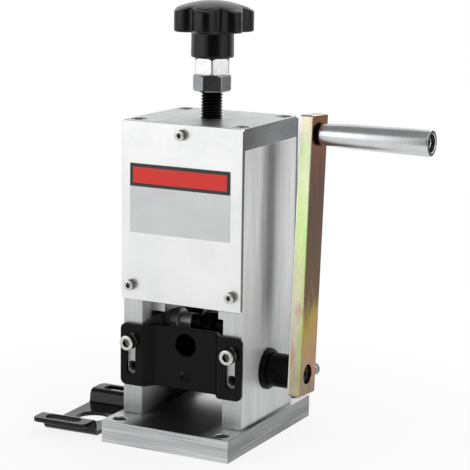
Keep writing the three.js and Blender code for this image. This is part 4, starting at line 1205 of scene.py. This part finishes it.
@dataclass
class Body(Assembly):
    """Base plate, side plates, top plate, covers and label."""

    base_width: float = 94.0
    base_depth: float = 122.0
    base_thickness: float = 15.0
    mount_x: float = 38.0
    mount_y: float = 52.5
    mount_radius: float = 4.5
    inner_x: float = 30.0
    outer_x: float = 44.0
    side_top: float = 198.0
    top: float = 212.0
    edge: float = 0.22
    groove_y: float = 25.3
    groove_foot: float = 79.0
    groove_depth: float = 3.0
    housing_hole: float = 11.55
    bush_hole: float = 9.05
    bush_depth: float = 10.3
    rod_hole: float = 7.3
    head_hole: float = 5.5
    head_seat: float = 6.5
    m6_hole: float = 3.3
    m4_hole: float = 2.3
    m6_depth: float = 16.0
    m4_depth: float = 10.0
    end_depth: float = 20.0
    sheet_edge: float = 0.35
    second_guide_z: float = 47.5
    cover_foot: float = 93.5
    cover_thickness: float = 3.0

    def sunk(self, y: float, depth: float) -> list[Opening]:
        """Counterbores for four M6 screws, at a distance along Y from the middle."""
        places = [(a * self.plate_x, b * y) for a, b in CORNERS]
        return [counterbore(self.head_hole, place, self.head_seat, self.m6_hole, depth) for place in places]

    def base_plate(self) -> Shell:
        """The base: four holes for bench screws, four counterbores from below."""
        half_x, half_y, high = self.base_width / 2, self.base_depth / 2, self.base_thickness
        places = [(a * self.mount_x, b * self.mount_y) for a, b in CORNERS]
        mounts = [bore(self.mount_radius, place, high, 0.5) for place in places]
        holes = {Face.HEAD: mounts, Face.FOOT: self.sunk(self.base_y, high)}
        return block((-half_x, -half_y, 0), (half_x, half_y, high), self.edge, holes)

    def side_plate(self, sx: int) -> Shell:
        """A side plate: groove and bearing hole inside, tapped holes in its narrow faces.

        Args:
            sx: -1 for the left one, 1 for the right one.

        Returns:
            Its surface.
        """
        low_x, high_x = sorted((sx * self.inner_x, sx * self.outer_x))
        x = sx * self.plate_x
        corner = (self.groove_y, self.side_top - 0.6)
        slot = rounded_rectangle((-self.groove_y, self.groove_foot), corner, 0.4, 2)
        groove = Opening(slot, ((0.0, 0.0), (0.0, self.groove_depth)))
        centre = (0.0, self.crank_z)
        if sx > 0:
            inner = Face.LEFT
            bearing = bore(self.housing_hole, centre, self.outer_x - self.inner_x, 0.2)
        else:
            inner = Face.RIGHT
            bearing = blind(self.bush_hole, centre, self.bush_depth)
        narrow = [
            tapped(self.m6_hole, (self.second_guide_z, x), self.m6_depth, 1.0),
            blind(self.m6_hole, (self.guide_z, x), self.m6_depth),
            blind(self.m4_hole, (self.cover_low, x), self.m4_depth),
        ]
        holes = {
            inner: [groove, bearing],
            Face.FRONT: narrow,
            Face.REAR: narrow,
            Face.HEAD: [blind(self.m6_hole, (x, s * self.top_y), self.end_depth) for s in (-1, 1)],
            Face.FOOT: [blind(self.m6_hole, (x, s * self.base_y), self.end_depth) for s in (-1, 1)],
        }
        low = (low_x, -self.face_y, self.base_thickness)
        return block(low, (high_x, self.face_y, self.side_top), self.edge, holes)

    def top_plate(self) -> Shell:
        """The top plate: four counterbores, and the hole for the adjusting screw."""
        high = self.top - self.side_top
        screw = [blind(self.m4_hole, (self.cover_high, 0.0), self.m4_depth)]
        head = [bore(self.rod_hole, (0.0, 0.0), high, 0.4), *self.sunk(self.top_y, high)]
        holes = {Face.HEAD: head, Face.FRONT: screw, Face.REAR: screw}
        low = (-self.outer_x, -self.face_y, self.side_top)
        return block(low, (self.outer_x, self.face_y, self.top), self.edge, holes)

    def cover(self, sy: int) -> Shell:
        """A cover: a thin sheet with three screw holes, on the front or the rear face.

        Args:
            sy: -1 for the front one, 1 for the rear one.

        Returns:
            Its surface.
        """
        thick = self.cover_thickness
        outline = rounded_rectangle((-self.outer_x, self.cover_foot), (self.outer_x, self.top), 2.0)
        places = [(0.0, self.cover_high), (-self.plate_x, self.cover_low), (self.plate_x, self.cover_low)]

        def stand(flat: Array) -> Array:
            """Stands the sheet up, its height in the sheet away from the machine."""
            return np.stack([flat[:, 0], sy * (self.face_y + flat[:, 2]), flat[:, 1]], axis=1)

        holes = [bore(self.m4_hole, place, thick) for place in places]
        return sheet(outline, thick, self.sheet_edge, holes, stand)

    def build(self) -> None:
        """Makes the plates and dresses the label."""
        plates = (
            ("base_plate", self.base_plate(), BASE_BAR),
            ("left_side_plate", self.side_plate(-1), SIDE_PLATE),
            ("right_side_plate", self.side_plate(1), SIDE_PLATE),
            ("top_plate", self.top_plate(), TOP_PLATE),
            ("front_cover", self.cover(-1), COVER_SHEET),
            ("rear_cover", self.cover(1), COVER_SHEET),
        )
        for node, shell, finish in plates:
            self.add(shell, node, finish, second=BORE_SHADE)
        self.keep("blank_label", LABEL)


@dataclass
class GuideSheet:
    """A bent guide plate: two slotted flanges and a set-back panel with holes."""

    length: float
    height: float
    recess: float
    bend_start: float
    slot_width: float
    slot_length: float
    slot_foot: float
    slot_spread: float
    holes: tuple[Span, ...]
    bend_radius: float
    bend_angle: float
    thickness: float = 3.0
    corner: float = 4.0
    bend_steps: int = 8
    edge: float = 0.45
    rim: float = 0.4

    def middle_line(self) -> tuple[Array, Array, Array, Array]:
        """The sheet's middle line, from one flange's end to the other's.

        From the middle of the panel it runs straight, turns by the bend's angle towards the flange's
        plane, runs straight, turns back, and runs straight to the end. The other half mirrors it.

        Returns:
            Distance along the line from its middle, x, y and heading at each of its points.
        """
        bend, radius = math.radians(self.bend_angle), self.bend_radius
        fall = radius * (1 - math.cos(bend))
        slope = (self.recess - 2 * fall) / math.sin(bend)
        wall = self.bend_start - 2 * radius * math.sin(bend) - slope * math.cos(bend)
        angle = np.linspace(0, bend, self.bend_steps + 1)
        back = angle[::-1]
        x = [wall + radius * np.sin(angle), self.bend_start - radius * np.sin(back), [self.length / 2]]
        y = [self.recess - radius * (1 - np.cos(angle)), radius * (1 - np.cos(back)), [0.0]]
        arcs = [angle * radius, bend * radius + slope + angle * radius]
        last = 2 * bend * radius + slope + self.length / 2 - self.bend_start
        along = wall + np.concatenate([*arcs, [last]])
        across, rise = np.concatenate(x), np.concatenate(y)
        heading = -np.concatenate([angle, back, [0.0]])
        odd = [np.concatenate([-values[::-1], values]) for values in (along, across, heading)]
        return odd[0], odd[1], np.concatenate([rise[::-1], rise]), odd[2]

    def shell(self, stand: Callable[[Array], Array]) -> Shell:
        """The guide's surface.

        It is laid out flat, cut, and then bent: a flat point goes to the middle line's place at its
        distance, and from there across the line by its height in the sheet.

        Args:
            stand: puts points of the upright guide, flanges' backs at y = 0, where they belong.

        Returns:
            The surface.
        """
        along, line_x, line_y, heading = self.middle_line()
        end, thick, rim = along[-1], self.thickness, self.rim
        stations = along[1:-1]
        outline = rounded_rectangle((-end, 0.0), (end, self.height), self.corner, 6, stations)
        flange = end - (self.length - self.slot_spread) / 2
        half, foot = self.slot_width / 2, self.slot_foot
        top = foot + self.slot_length
        steps = ((-rim, 0.0), (0.0, rim), (0.0, thick - rim), (-rim, thick))
        sides = [(x - half, x + half) for x in (-flange, flange)]
        slots = [rounded_rectangle((low, foot), (high, top), half - 0.01, 8) for low, high in sides]
        openings = [Opening(slot, steps, True) for slot in slots]
        openings += [bore(radius, (0.0, rise), thick, rim) for radius, rise in self.holes]

        def bend(flat: Array) -> Array:
            """Bends the flat sheet along the middle line."""
            x, y, turn = (np.interp(flat[:, 0], along, line) for line in (line_x, line_y, heading))
            off = flat[:, 2] - thick / 2
            behind = y - off * np.cos(turn) - thick / 2
            return stand(np.stack([x + off * np.sin(turn), behind, flat[:, 1]], axis=1))

        return sheet(outline, thick, self.edge, openings, bend, stations)


@dataclass
class Guides(Assembly):
    """The two guides on the machine and the spare one on the bench."""

    foot: float = 35.1
    spare_x: float = -76.9
    spare_y: float = -22.8
    spare_turn: float = 92.0

    def build(self) -> None:
        """Makes the three guides."""
        holes = ((7.5, 30.2), (3.75, 9.1))
        mounted = GuideSheet(90.0, 41.7, 7.5, 29.4, 6.6, 28.5, 7.4, 74.0, holes, 2.0, 56.0)
        spare = GuideSheet(95.0, 40.0, 9.2, 34.6, 9.0, 26.0, 7.0, 79.0, ((11.0, 20.0),), 3.0, 82.0)
        angle = math.radians(self.spare_turn)

        def front(points: Array) -> Array:
            """On the front face."""
            return points + np.array([0, -self.face_y, self.foot])

        def rear(points: Array) -> Array:
            """On the rear face, turned half round."""
            return points * np.array([-1, -1, 1]) + np.array([0, self.face_y, self.foot])

        def lying(points: Array) -> Array:
            """On the bench: its back down, then turned about the vertical."""
            x, y = points[:, 0], points[:, 2] - spare.height / 2
            turned_x = x * math.cos(angle) - y * math.sin(angle) + self.spare_x
            turned_y = x * math.sin(angle) + y * math.cos(angle) + self.spare_y
            return np.stack([turned_x, turned_y, spare.recess - points[:, 1]], axis=1)

        self.add(mounted.shell(front), "front_guide_plate", BLACK_POWDER)
        self.add(mounted.shell(rear), "rear_guide_plate", BLACK_POWDER)
        self.add(spare.shell(lying), "spare_guide_plate", BLACK_ENAMEL)


@dataclass
class Crank(Assembly):
    """Bearings, shaft, roller, arm and handle."""

    lean: float = -3.6
    throw: float = 157.6
    bolt_hole: float = 3.3
    clamp_rise: float = 2.9
    arm_x: float = 64.5
    arm_thickness: float = 9.0
    arm_half: float = 12.0
    arm_low: float = -13.6
    arm_high: float = 170.1
    handle: Point = (0.0, 9.896, 205.489)
    bore_radius: float = 6.55
    teeth: int = 36
    tooth_depth: float = 0.6
    tooth_steps: int = 8
    roller_radius: float = 9.6
    roller_half: float = 18.0
    grip_start: float = 75.3
    grip_end: float = 150.5
    grip_floor: float = 144.2
    grip_bore: float = 4.3
    grip_sink: float = 5.8
    neck: float = 6.9
    swelling: float = 1.1
    swell_length: float = 29.5

    def centre(self) -> Point:
        """The crank's axis at x = 0."""
        return 0.0, 0.0, self.crank_z

    def roller(self) -> Shell:
        """The drive roller: teeth whose radius falls in the gap between two of them."""
        count = self.teeth * self.tooth_steps
        turns = np.mod(np.linspace(0, self.teeth, count, endpoint=False), 1.0)
        gap = np.clip(np.abs(turns - 0.5) * 4 - 0.6, 0, 1)
        tip = self.roller_radius - self.tooth_depth * gap
        low, half, edge = self.bore_radius, self.roller_half, self.roller_half - 0.5
        rows = [(low, -half), (tip - 0.5, -half), (tip, -edge), (tip, edge), (tip - 0.5, half), (low, half)]
        return swept([*rows, rows[0]], Axis.RIGHT, self.centre(), count)

    def arm(self) -> Shell:
        """The arm: a flat bar with the shaft's hole and the handle's, leaning back."""
        outline = rounded_rectangle((-self.arm_half, self.arm_low), (self.arm_half, self.arm_high), 1.6, 5)
        holes = [
            bore(self.bore_radius, (0.0, 0.0), self.arm_thickness, 0.4),
            bore(self.bolt_hole, (0.0, self.throw), self.arm_thickness),
        ]

        def stand(flat: Array) -> Array:
            """Stands the bar up beside the sleeve."""
            return np.stack([self.arm_x + flat[:, 2], flat[:, 0], flat[:, 1] + self.crank_z], axis=1)

        shell = sheet(outline, self.arm_thickness, 0.5, holes, stand)
        return shell.turn_about_x(self.lean, self.crank_z)

    def grip(self) -> Shell:
        """The grip: its radius swells from the neck as a quarter sine, then grows evenly to the end."""
        start, end, low, sink = self.grip_start, self.grip_end, self.grip_bore, self.grip_sink
        share = np.linspace(0, 1, 24)
        swell = self.neck + self.swelling * np.sin(share * np.pi / 2)
        places = start + 0.5 + self.swell_length * share
        profile = [(low, start, 0), (self.neck - 0.5, start, 0)]
        profile += [(radius, place, 0) for radius, place in zip(swell.tolist(), places.tolist())]
        # Part 1: the end ring and the recess wall, with the painted dark reflection and the painted shade.
        part = [0] * (len(profile) + 2) + [1, 0, 1, 0, 0]
        profile += [(8.6, end - 0.8, 0), (8.4, end - 0.2, 0), (8.0, end, 0), (6.1, end, 0)]
        profile += [(sink, end - 0.3, 0), (sink, self.grip_floor, 0), (low, self.grip_floor, 0)]
        return turned(profile, self.handle, 96, part=part)

    def bolt(self) -> Shell:
        """The handle's shoulder bolt, with a hexagon socket in its head."""
        count = 120
        hexagon = hexagon_radius(5.0, count)
        rows = [(0, 64.5), (2.6, 64.5), (3.0, 64.9), (3.0, 73.5), (4.0, 73.5), (4.0, 144.5), (5.5, 144.5)]
        rows += [(5.5, 148.0), (5.3, 148.35), (4.9, 148.5), (hexagon + 0.2, 148.5), (hexagon, 148.3)]
        rows += [(hexagon, 146.2), (0, 145.6)]
        return swept(rows, Axis.RIGHT, self.handle, count, [0] * 11 + [1, 1])

    def shaft(self) -> Shell:
        """The shaft, with a centre hole in its outer end."""
        profile = [(0, -40.0, 0), (5.7, -40.0, 0), (6.25, -39.4, 0), (6.25, 70.9, 0), (5.7, 71.5, 0)]
        profile += [(1.7, 71.5, 0.2), (0.6, 69.9, 0), (0, 69.2, 0)]
        return turned(profile, self.centre(), tube=False)

    def housing(self) -> Shell:
        """The bearing housing: a barrel in the side plate and a flange with a thin raised rim outside it."""
        profile = [(9.05, 30.0, 0), (11.25, 30.0, 0), (11.25, 44.0, 0), (13.3, 44.0, 0), (13.7, 44.4, 0)]
        profile += [(13.7, 46.2, 0.3), (12.7, 46.6, 0.3), (12.5, 48.0, 0.4), (9.05, 48.0, 0)]
        return turned(profile, self.centre(), 96)

    def build(self) -> None:
        """Makes the crank and its bearings."""
        centre, inner = self.centre(), self.bore_radius
        tubes = (
            ("left_bush", (inner, 8.75, -40.0, -30.0, 0.4), centre, BRONZE),
            ("right_bush", (inner, 8.75, 30.0, 48.0, 0.4), centre, BRONZE),
            ("left_roller_spacer", (inner, 8.55, -29.7, -18.0, 0.4), centre, BLACK_OXIDE),
            ("right_roller_spacer", (inner, 8.55, 18.0, 29.7, 0.4), centre, BLACK_OXIDE),
            ("hub_sleeve", (inner, 11.2, 48.3, 64.2, 0.5), centre, BLACK_OXIDE),
            ("handle_washer", (self.grip_bore, 7.5, 73.8, 75.0, 0.2), self.handle, BLACK_OXIDE),
        )
        for node, sizes, origin, finish in tubes:
            self.add(turned(tube_profile(*sizes), origin, 96), node, finish)
        self.add(self.housing(), "bearing_housing", BLACK_OXIDE)
        self.add(self.shaft(), "crank_shaft", BLACK_OXIDE)
        self.add(self.roller(), "drive_roller", BLACK_OXIDE)
        self.add(self.arm(), "crank_arm", YELLOW_ZINC)
        seat = (self.arm_x + self.arm_thickness / 2, self.arm_half + self.clamp_rise, self.crank_z)
        clamp = Fasteners().screw(CLAMP_SCREW, Axis.REAR, seat).turn_about_x(self.lean, self.crank_z)
        self.add(clamp, "arm_clamp_screw", NICKEL, second=KNURL_SHADE)
        self.add(self.grip(), "handle_grip", TURNED_STEEL, second=END_SHADE)
        self.add(self.bolt(), "handle_bolt", NICKEL, second=KNURL_SHADE)


@dataclass
class Adjuster(Assembly):
    """The adjusting screw, its two nuts and the star knob."""

    rod_radius: float = 7.0
    pitch: float = 2.0
    thread_depth: float = 1.1
    thread_foot: float = 160.0
    thread_top: float = 262.0
    rod_top: float = 264.2
    nut_flats: float = 22.0
    nut_height: float = 11.0
    nut_soft: float = 0.35
    lower_nut: float = 229.5
    upper_nut: float = 240.5
    rod_hole: float = 7.3
    knob_foot: float = 251.5
    knob_hole: float = 13.0
    head_foot: float = 268.5
    head_height: float = 13.8
    dome: float = 6.2
    low_rim: float = 1.3
    high_rim: float = 1.7
    lobes: int = 7
    tip: float = 26.8
    crease: float = 20.8
    valley: float = 21.5
    knob_turn: float = -76.0
    hub_radius: float = 14.05

    def rod(self) -> Shell:
        """The rod, with its button and neck below and a right-hand thread above.

        The thread's radius is the rod's, less its depth times a triangle wave of height over pitch
        less turns, whose crests and roots are flattened.
        """
        count = 48
        turns = np.linspace(0, 1, count, endpoint=False)
        rows = [(0, 145.3), (6.35, 145.3), (6.75, 145.7), (6.75, 149.3), (6.35, 149.7), (4.5, 149.7)]
        rows += [(4.5, 154.3), (6.0, 154.3), (6.0, self.thread_foot - 1)]
        heights = np.arange(self.thread_foot, self.thread_top, self.pitch / 8)
        phase = np.mod(heights[:, None] / self.pitch - turns, 1.0)
        groove = np.clip(np.abs(phase - 0.5) * 2.6 - 0.3, 0, 1)
        rows += zip(self.rod_radius - self.thread_depth * groove, heights)
        rows += [(5.9, self.thread_top), (5.9, self.rod_top), (0, self.rod_top)]
        return swept(rows, Axis.UP, (0, 0, 0), count)

    def nut(self, flats: float, height: float, hole: float, axis: Axis, at: Point, turn: float) -> Shell:
        """A hexagon nut.

        Its side is a hexagon with rounded corners. A cone cuts them at both ends, by 1.3 times the
        distance past the circle where the cone begins.

        Args:
            flats: width across flats.
            height: of the nut.
            hole: its bore's radius.
            axis: the way it points.
            at: the middle of its lower face.
            turn: degrees to a corner.

        Returns:
            Its surface.
        """
        count, soft = 192, self.nut_soft
        side = softened(hexagon_radius(flats, count, turn), 3.2)
        end = np.minimum(side, flats / 2 + 0.7)
        drop = (side - end) * 1.3
        low = [(hole + 0.5, 0), (end - soft, 0), (end - soft * 0.3, soft * 0.3), (end, soft)]
        low += [(side, soft + drop), (side, soft + drop + 0.7)]
        high = [(radius, height - place) for radius, place in reversed(low)]
        bored = [(hole, height - 0.5), (hole, 0.5), (hole + 0.5, 0)]
        return swept(low + high + bored, axis, at, count)

    def lobed(self, count: int) -> Array:
        """The star's radius at each angle.

        A lobe is a circle through the tip and the two creases beside it: its centre lies at a distance
        c from the axis, and the radius at an angle a from its tip is c cos a + the root of
        (lobe radius squared - c squared sin squared a). The creases are then softened to wide valleys,
        and the outline is stretched back to its tip and its lowest radius.
        """
        half = math.pi / self.lobes
        inward_x, inward_y = self.crease * math.cos(half), self.crease * math.sin(half)
        centre = (self.tip**2 - self.crease**2) / (2 * (self.tip - inward_x))
        lobe = math.hypot(inward_x - centre, inward_y)
        off = np.mod(angles(count) - math.radians(self.knob_turn) + half, 2 * half) - half
        soft = softened(centre * np.cos(off) + np.sqrt(lobe**2 - (centre * np.sin(off)) ** 2), 7.5)
        share = (soft - soft.min()) / (soft.max() - soft.min())
        return self.valley + (self.tip - self.valley) * share

    def knob(self) -> Shell:
        """The star knob: hub, flat underside, lobed side with rounded rims, and a domed top.

        The dome falls as the square of the distance from the axis. At the rims the outline moves
        inwards by 1 - cosine and the height by 1 - sine of a quarter turn, times the rim's radius.
        """
        count = 336
        side = self.lobed(count)
        peak = self.head_foot + self.head_height + self.dome
        hub, hole, foot, head = self.hub_radius, self.rod_hole, self.knob_foot, self.head_foot
        floor = foot + self.knob_hole
        rows = [(0, floor), (hole, floor), (hole, foot + 0.4), (hole + 0.4, foot)]
        rows += [(hub - 1.0, foot), (hub - 0.35, foot + 0.25), (hub, foot + 1.0), (hub - 0.02, foot + 1.9)]
        rows += [(hub - 0.14, head - 2.0), (hub - 0.15, head - 1.2), (hub + 0.15, head - 0.35)]
        rows.append((hub + 0.9, head))
        quarter = np.linspace(0, np.pi / 2, 6)
        low, high = self.low_rim, self.high_rim
        rows += [(side - low * (1 - math.sin(turn)), head + low * (1 - math.cos(turn))) for turn in quarter]

        def height(radius: Array) -> Array:
            """The dome's height at a distance from the axis."""
            return peak - self.dome * (radius / self.tip) ** 2

        for turn in quarter:
            drop = high * (1 - math.sin(turn)) - 0.3
            rows.append((side - high * (1 - math.cos(turn)), height(side) - drop))
        rows += [((side - high) * share, height((side - high) * share)) for share in np.linspace(0.95, 0, 12)]
        return swept(rows, Axis.UP, (0, 0, 0), count)

    def build(self) -> None:
        """Makes the adjuster."""
        self.add(self.rod(), "adjusting_screw", BLACK_OXIDE, 50.0)
        size = (self.nut_flats, self.nut_height, self.rod_hole, Axis.UP)
        self.add(self.nut(*size, (0, 0, self.lower_nut), 27.0), "lower_nut", DARK_STEEL, 24.0)
        self.add(self.nut(*size, (0, 0, self.upper_nut), 57.0), "upper_nut", BRIGHT_ZINC, 24.0)
        self.add(self.knob(), "star_knob", PHENOLIC, 50.0)


@dataclass
class CuttingHead(Assembly):
    """The blade carriage with its axle, collars and blade."""

    blade_z: float = 73.0

    def build(self) -> None:
        """Dresses the carriage and makes what turns on its axle."""
        centre = (0.0, 0.0, self.blade_z)
        self.keep("blade_carriage", CARRIAGE_BLOCK)
        self.keep("screw_retainer", GREASED_STEEL)
        axle = [(0, -29.4, 0), (3.5, -29.4, 0), (4.0, -28.9, 0), (4.0, 28.9, 0), (3.5, 29.4, 0), (0, 29.4, 0)]
        self.add(turned(axle, centre, tube=False), "blade_axle", GREASED_STEEL)
        # The left collar is bright steel and the right one black: the black is painted shade of the machine's
        # inside.
        for side, start, finish in (("left", -26.0, GREASED_STEEL), ("right", 20.0, BLACK_OXIDE)):
            collar = turned(tube_profile(4.3, 8.5, start, start + 6.0, 0.5), centre)
            self.add(collar, f"{side}_axle_collar", finish)
        hub = [(4.3, -19.7, 0), (5.6, -19.7, 0), (6.0, -19.3, 0), (6.0, -11.0, 0), (6.0, -4.8, 0)]
        hub += [(9.6, -4.8, 0), (10.0, -4.4, 0), (10.0, -0.8, 0), (6.0, -0.8, 0), (6.0, 19.3, 0)]
        hub += [(5.6, 19.7, 0), (4.3, 19.7, 0)]
        # The hub's left end is bright steel and the rest black, a painted shade.
        barrel = turned(hub, centre, part=[0] * 3 + [1] * 9)
        self.add(barrel, "blade_hub", GREASED_STEEL, second=BLACK_OXIDE)
        blade = [(6.3, -0.8, 0), (11.0, -0.8, 0.2), (14.0, 0, 0), (11.0, 0.8, 0.2), (6.3, 0.8, 0)]
        self.add(turned(blade, centre, 144), "circular_blade", BLADE_STEEL, 10.0)
        # The blade nut is black as well, a painted shade.
        nut = Adjuster().nut(18.0, 6.0, 6.3, Axis.RIGHT, (0.8, 0, self.blade_z), 0.0)
        self.add(nut, "blade_nut", BLACK_OXIDE, 24.0)


@dataclass
class Studio:
    """Camera, floor, world and lamps."""

    azimuth: float = 27.173
    elevation: float = 11.151
    roll: float = 0.843
    target: Point = (18.47, 0.0, 135.43)
    distance: float = 1185.2
    focal: float = 1800.0
    picture: float = 470.0
    sensor: float = 36.0
    ambient: float = 0.62
    flag_near: float = 0.8
    flag_far: float = 1.5
    floor_z: float = -0.05
    film: float = 0.001
    aim: Point = (0.01, 0.0, 0.13)

    def camera(self) -> None:
        """Places the camera: it looks at the target from the azimuth and elevation, then rolls."""
        azimuth, elevation, roll = (math.radians(a) for a in (self.azimuth, self.elevation, self.roll))
        flat = math.cos(elevation)
        back = Vector((math.sin(azimuth) * flat, -math.cos(azimuth) * flat, math.sin(elevation)))
        right = (-back).cross(Vector((0, 0, 1))).normalized()
        up = right.cross(-back)
        level = right * math.cos(roll) + up * math.sin(roll)
        upright = up * math.cos(roll) - right * math.sin(roll)
        data = bpy.data.cameras.new("camera")
        data.sensor_width = self.sensor
        data.lens = self.focal / self.picture * self.sensor
        data.clip_start, data.clip_end = 0.01, 100.0
        camera = bpy.data.objects.new("camera", data)
        place = (Vector(self.target) + back * self.distance) * MM
        columns = Matrix((level, upright, back)).transposed().to_4x4()
        camera.matrix_world = Matrix.Translation(place) @ columns
        bpy.context.scene.collection.objects.link(camera)
        bpy.context.scene.camera = camera

    def direct(self, tree: Tree) -> Socket:
        """1 for what the camera or a mirror sees, and 0 for what only gives light."""
        seen = {
            0: add_node(tree, "LightPath", output="Is Camera Ray"),
            1: add_node(tree, "LightPath", output="Is Glossy Ray"),
        }
        return add_node(tree, "Math", seen, operation="MAXIMUM")

    def world(self) -> None:
        """A white world for the camera, for mirrors and for glass, and a dimmer one as fill light."""
        world = bpy.data.worlds.new("studio")
        bpy.context.scene.world = world
        world.use_nodes = True
        tree = world.node_tree
        tree.nodes.clear()
        through = {0: self.direct(tree), 1: add_node(tree, "LightPath", output="Is Transmission Ray")}
        mix = {0: add_node(tree, "Math", through, operation="MAXIMUM")}
        for i, strength in enumerate((self.ambient, 1.0), 1):
            mix[i] = add_node(tree, "Background", {"Color": linear("ffffff"), "Strength": strength})
        add_node(tree, "OutputWorld", {"Surface": add_node(tree, "MixShader", mix)})

    def floor(self) -> None:
        """A white paper floor: a disc that keeps the shadow near the machine and is plain white far off."""
        radii = np.array([0.001, 0.1, 0.2, 0.35, 0.6, 1.2, 3.0, 9.0, 40.0]) / MM
        columns = 48
        shell = swept([(radius, 0) for radius in radii], Axis.UP, (0, 0, self.floor_z), columns)
        shell.cap(shell.points[0][:columns])
        paper = blank_material("matt white paper")
        tree = paper.node_tree
        place = add_node(tree, "TexCoord", output="Object")
        off = add_node(tree, "VectorMath", {0: place}, operation="LENGTH", output="Value")
        fade = stretch(off, (0.1, 0.3), (0.84, 1.0))
        share = add_node(tree, "MapRange", fade, interpolation_type="SMOOTHSTEP")
        shown = add_node(tree, "Math", {0: share, 1: self.direct(tree)}, operation="MULTIPLY")
        noise = add_node(tree, "TexNoise", {"Scale": 900.0, "Detail": 2.0, "Vector": place})
        tone = add_node(tree, "ValToRGB", {"Fac": noise}, ((0.3, "f4f4f4"), (0.7, "fafafa")))
        matt = {"Base Color": tone, "Roughness": 0.9, "Specular IOR Level": 0.1}
        shade = add_node(tree, "BsdfPrincipled", matt)
        glow = add_node(tree, "Emission", {"Color": linear("ffffff"), "Strength": 1.0})
        mix = add_node(tree, "MixShader", {0: shown, 1: shade, 2: glow})
        add_node(tree, "OutputMaterial", {"Surface": mix})
        floor = make_object("floor", shell, 30.0)
        floor.data.materials.append(paper)

    def flag(
        self, name: str, start: float, end: float, height: float, tone: float, lying: bool = True
    ) -> None:
        """A card that only mirrors see, as the dark parts of a studio are seen.

        It lies on the floor as a sector of a ring and stands up at its far edge, or only stands.

        Args:
            name: of the card.
            start: degrees from +X to its first side.
            end: degrees from +X to its last side.
            height: of its upright part, in metres.
            tone: how bright it is, where 1 is white.
            lying: whether it lies on the floor too.
        """
        angle = np.radians(np.linspace(start, end, 12))
        across = np.stack([np.cos(angle), np.sin(angle), np.ones(12)], axis=1) / MM
        near, far, film = self.flag_near, self.flag_far, self.film
        rows = [across * [near, near, film], across * [far, far, film], across * [far, far, height]]
        shell = Shell()
        shell.grid(np.stack(rows if lying else rows[1:]), around=False)
        self.card(name, shell, tone)

    def card(self, name: str, shell: Shell, tone: float) -> None:
        """Makes a card of a shell, lit evenly, that casts no shadow and that the camera doesn't see."""
        card = make_object(name, shell, 30.0)
        matt = blank_material(name)
        glow = add_node(matt.node_tree, "Emission", {"Color": linear("ffffff"), "Strength": tone})
        add_node(matt.node_tree, "OutputMaterial", {"Surface": glow})
        card.data.materials.append(matt)
        card.visible_camera = False
        card.visible_diffuse = False
        card.visible_shadow = False
        card.visible_transmission = False

    def lamp(self, name: str, place: Point, size: float, power: float, height: float = 0.0) -> None:
        """A soft box that looks at the machine's middle.

        Args:
            name: of the lamp.
            place: in metres.
            size: its width, in metres.
            power: in watts.
            height: in metres, or 0 for a square.
        """
        data = bpy.data.lights.new(name, "AREA")
        data.size, data.energy = size, power
        if height:
            data.shape, data.size_y = "RECTANGLE", height
        lamp = bpy.data.objects.new(name, data)
        lamp.location = place
        aim = Vector(self.aim) - Vector(place)
        lamp.rotation_euler = aim.to_track_quat("-Z", "Y").to_euler()
        lamp.visible_camera = False
        bpy.context.scene.collection.objects.link(lamp)

    def build(self) -> None:
        """Sets the studio up."""
        self.camera()
        self.world()
        self.floor()
        self.lamp("key", (-0.9, -1.2, 0.6), 1.2, 3.6)
        self.lamp("side", (1.3, -0.5, 0.9), 0.8, 3.4)
        self.lamp("rear", (0.3, 1.3, 1.2), 0.9, 4.0)
        self.lamp("strip", (1.15, -0.06, 0.3), 0.1, 0.16, 0.5)
        self.flag("flag in front", -90.0, -24.0, 1.3, 0.07)
        self.flag("flag on the right", 24.0, 47.0, 0.4, 0.2, lying=False)
        self.flag("flag beside it", 50.0, 63.0, 0.16, 0.3, lying=False)
        self.flag("flag behind", 90.0, 112.0, 0.25, 0.1)
        corners = np.array([[0.3, -1.5, 1.5], [-1.6, -1.5, 1.5], [-1.6, 0.75, 1.5], [0.3, 0.75, 1.5]]) / MM
        overhead = Shell()
        overhead.add(corners, np.array([[0, 1, 2, 3]]))
        self.card("flag above", overhead, 0.3)
        bpy.context.scene.view_settings.view_transform = "Standard"
        LOG.info("studio: one camera, one floor, four lamps, five flags")


def main() -> None:
    """Builds the machine and the studio."""
    logging.basicConfig(level=logging.INFO, format="%(message)s")
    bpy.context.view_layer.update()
    for assembly in (Body(), Guides(), Fasteners(), Crank(), Adjuster(), CuttingHead()):
        assembly.build()
    Studio().build()


if __name__ == "__main__":
    main()
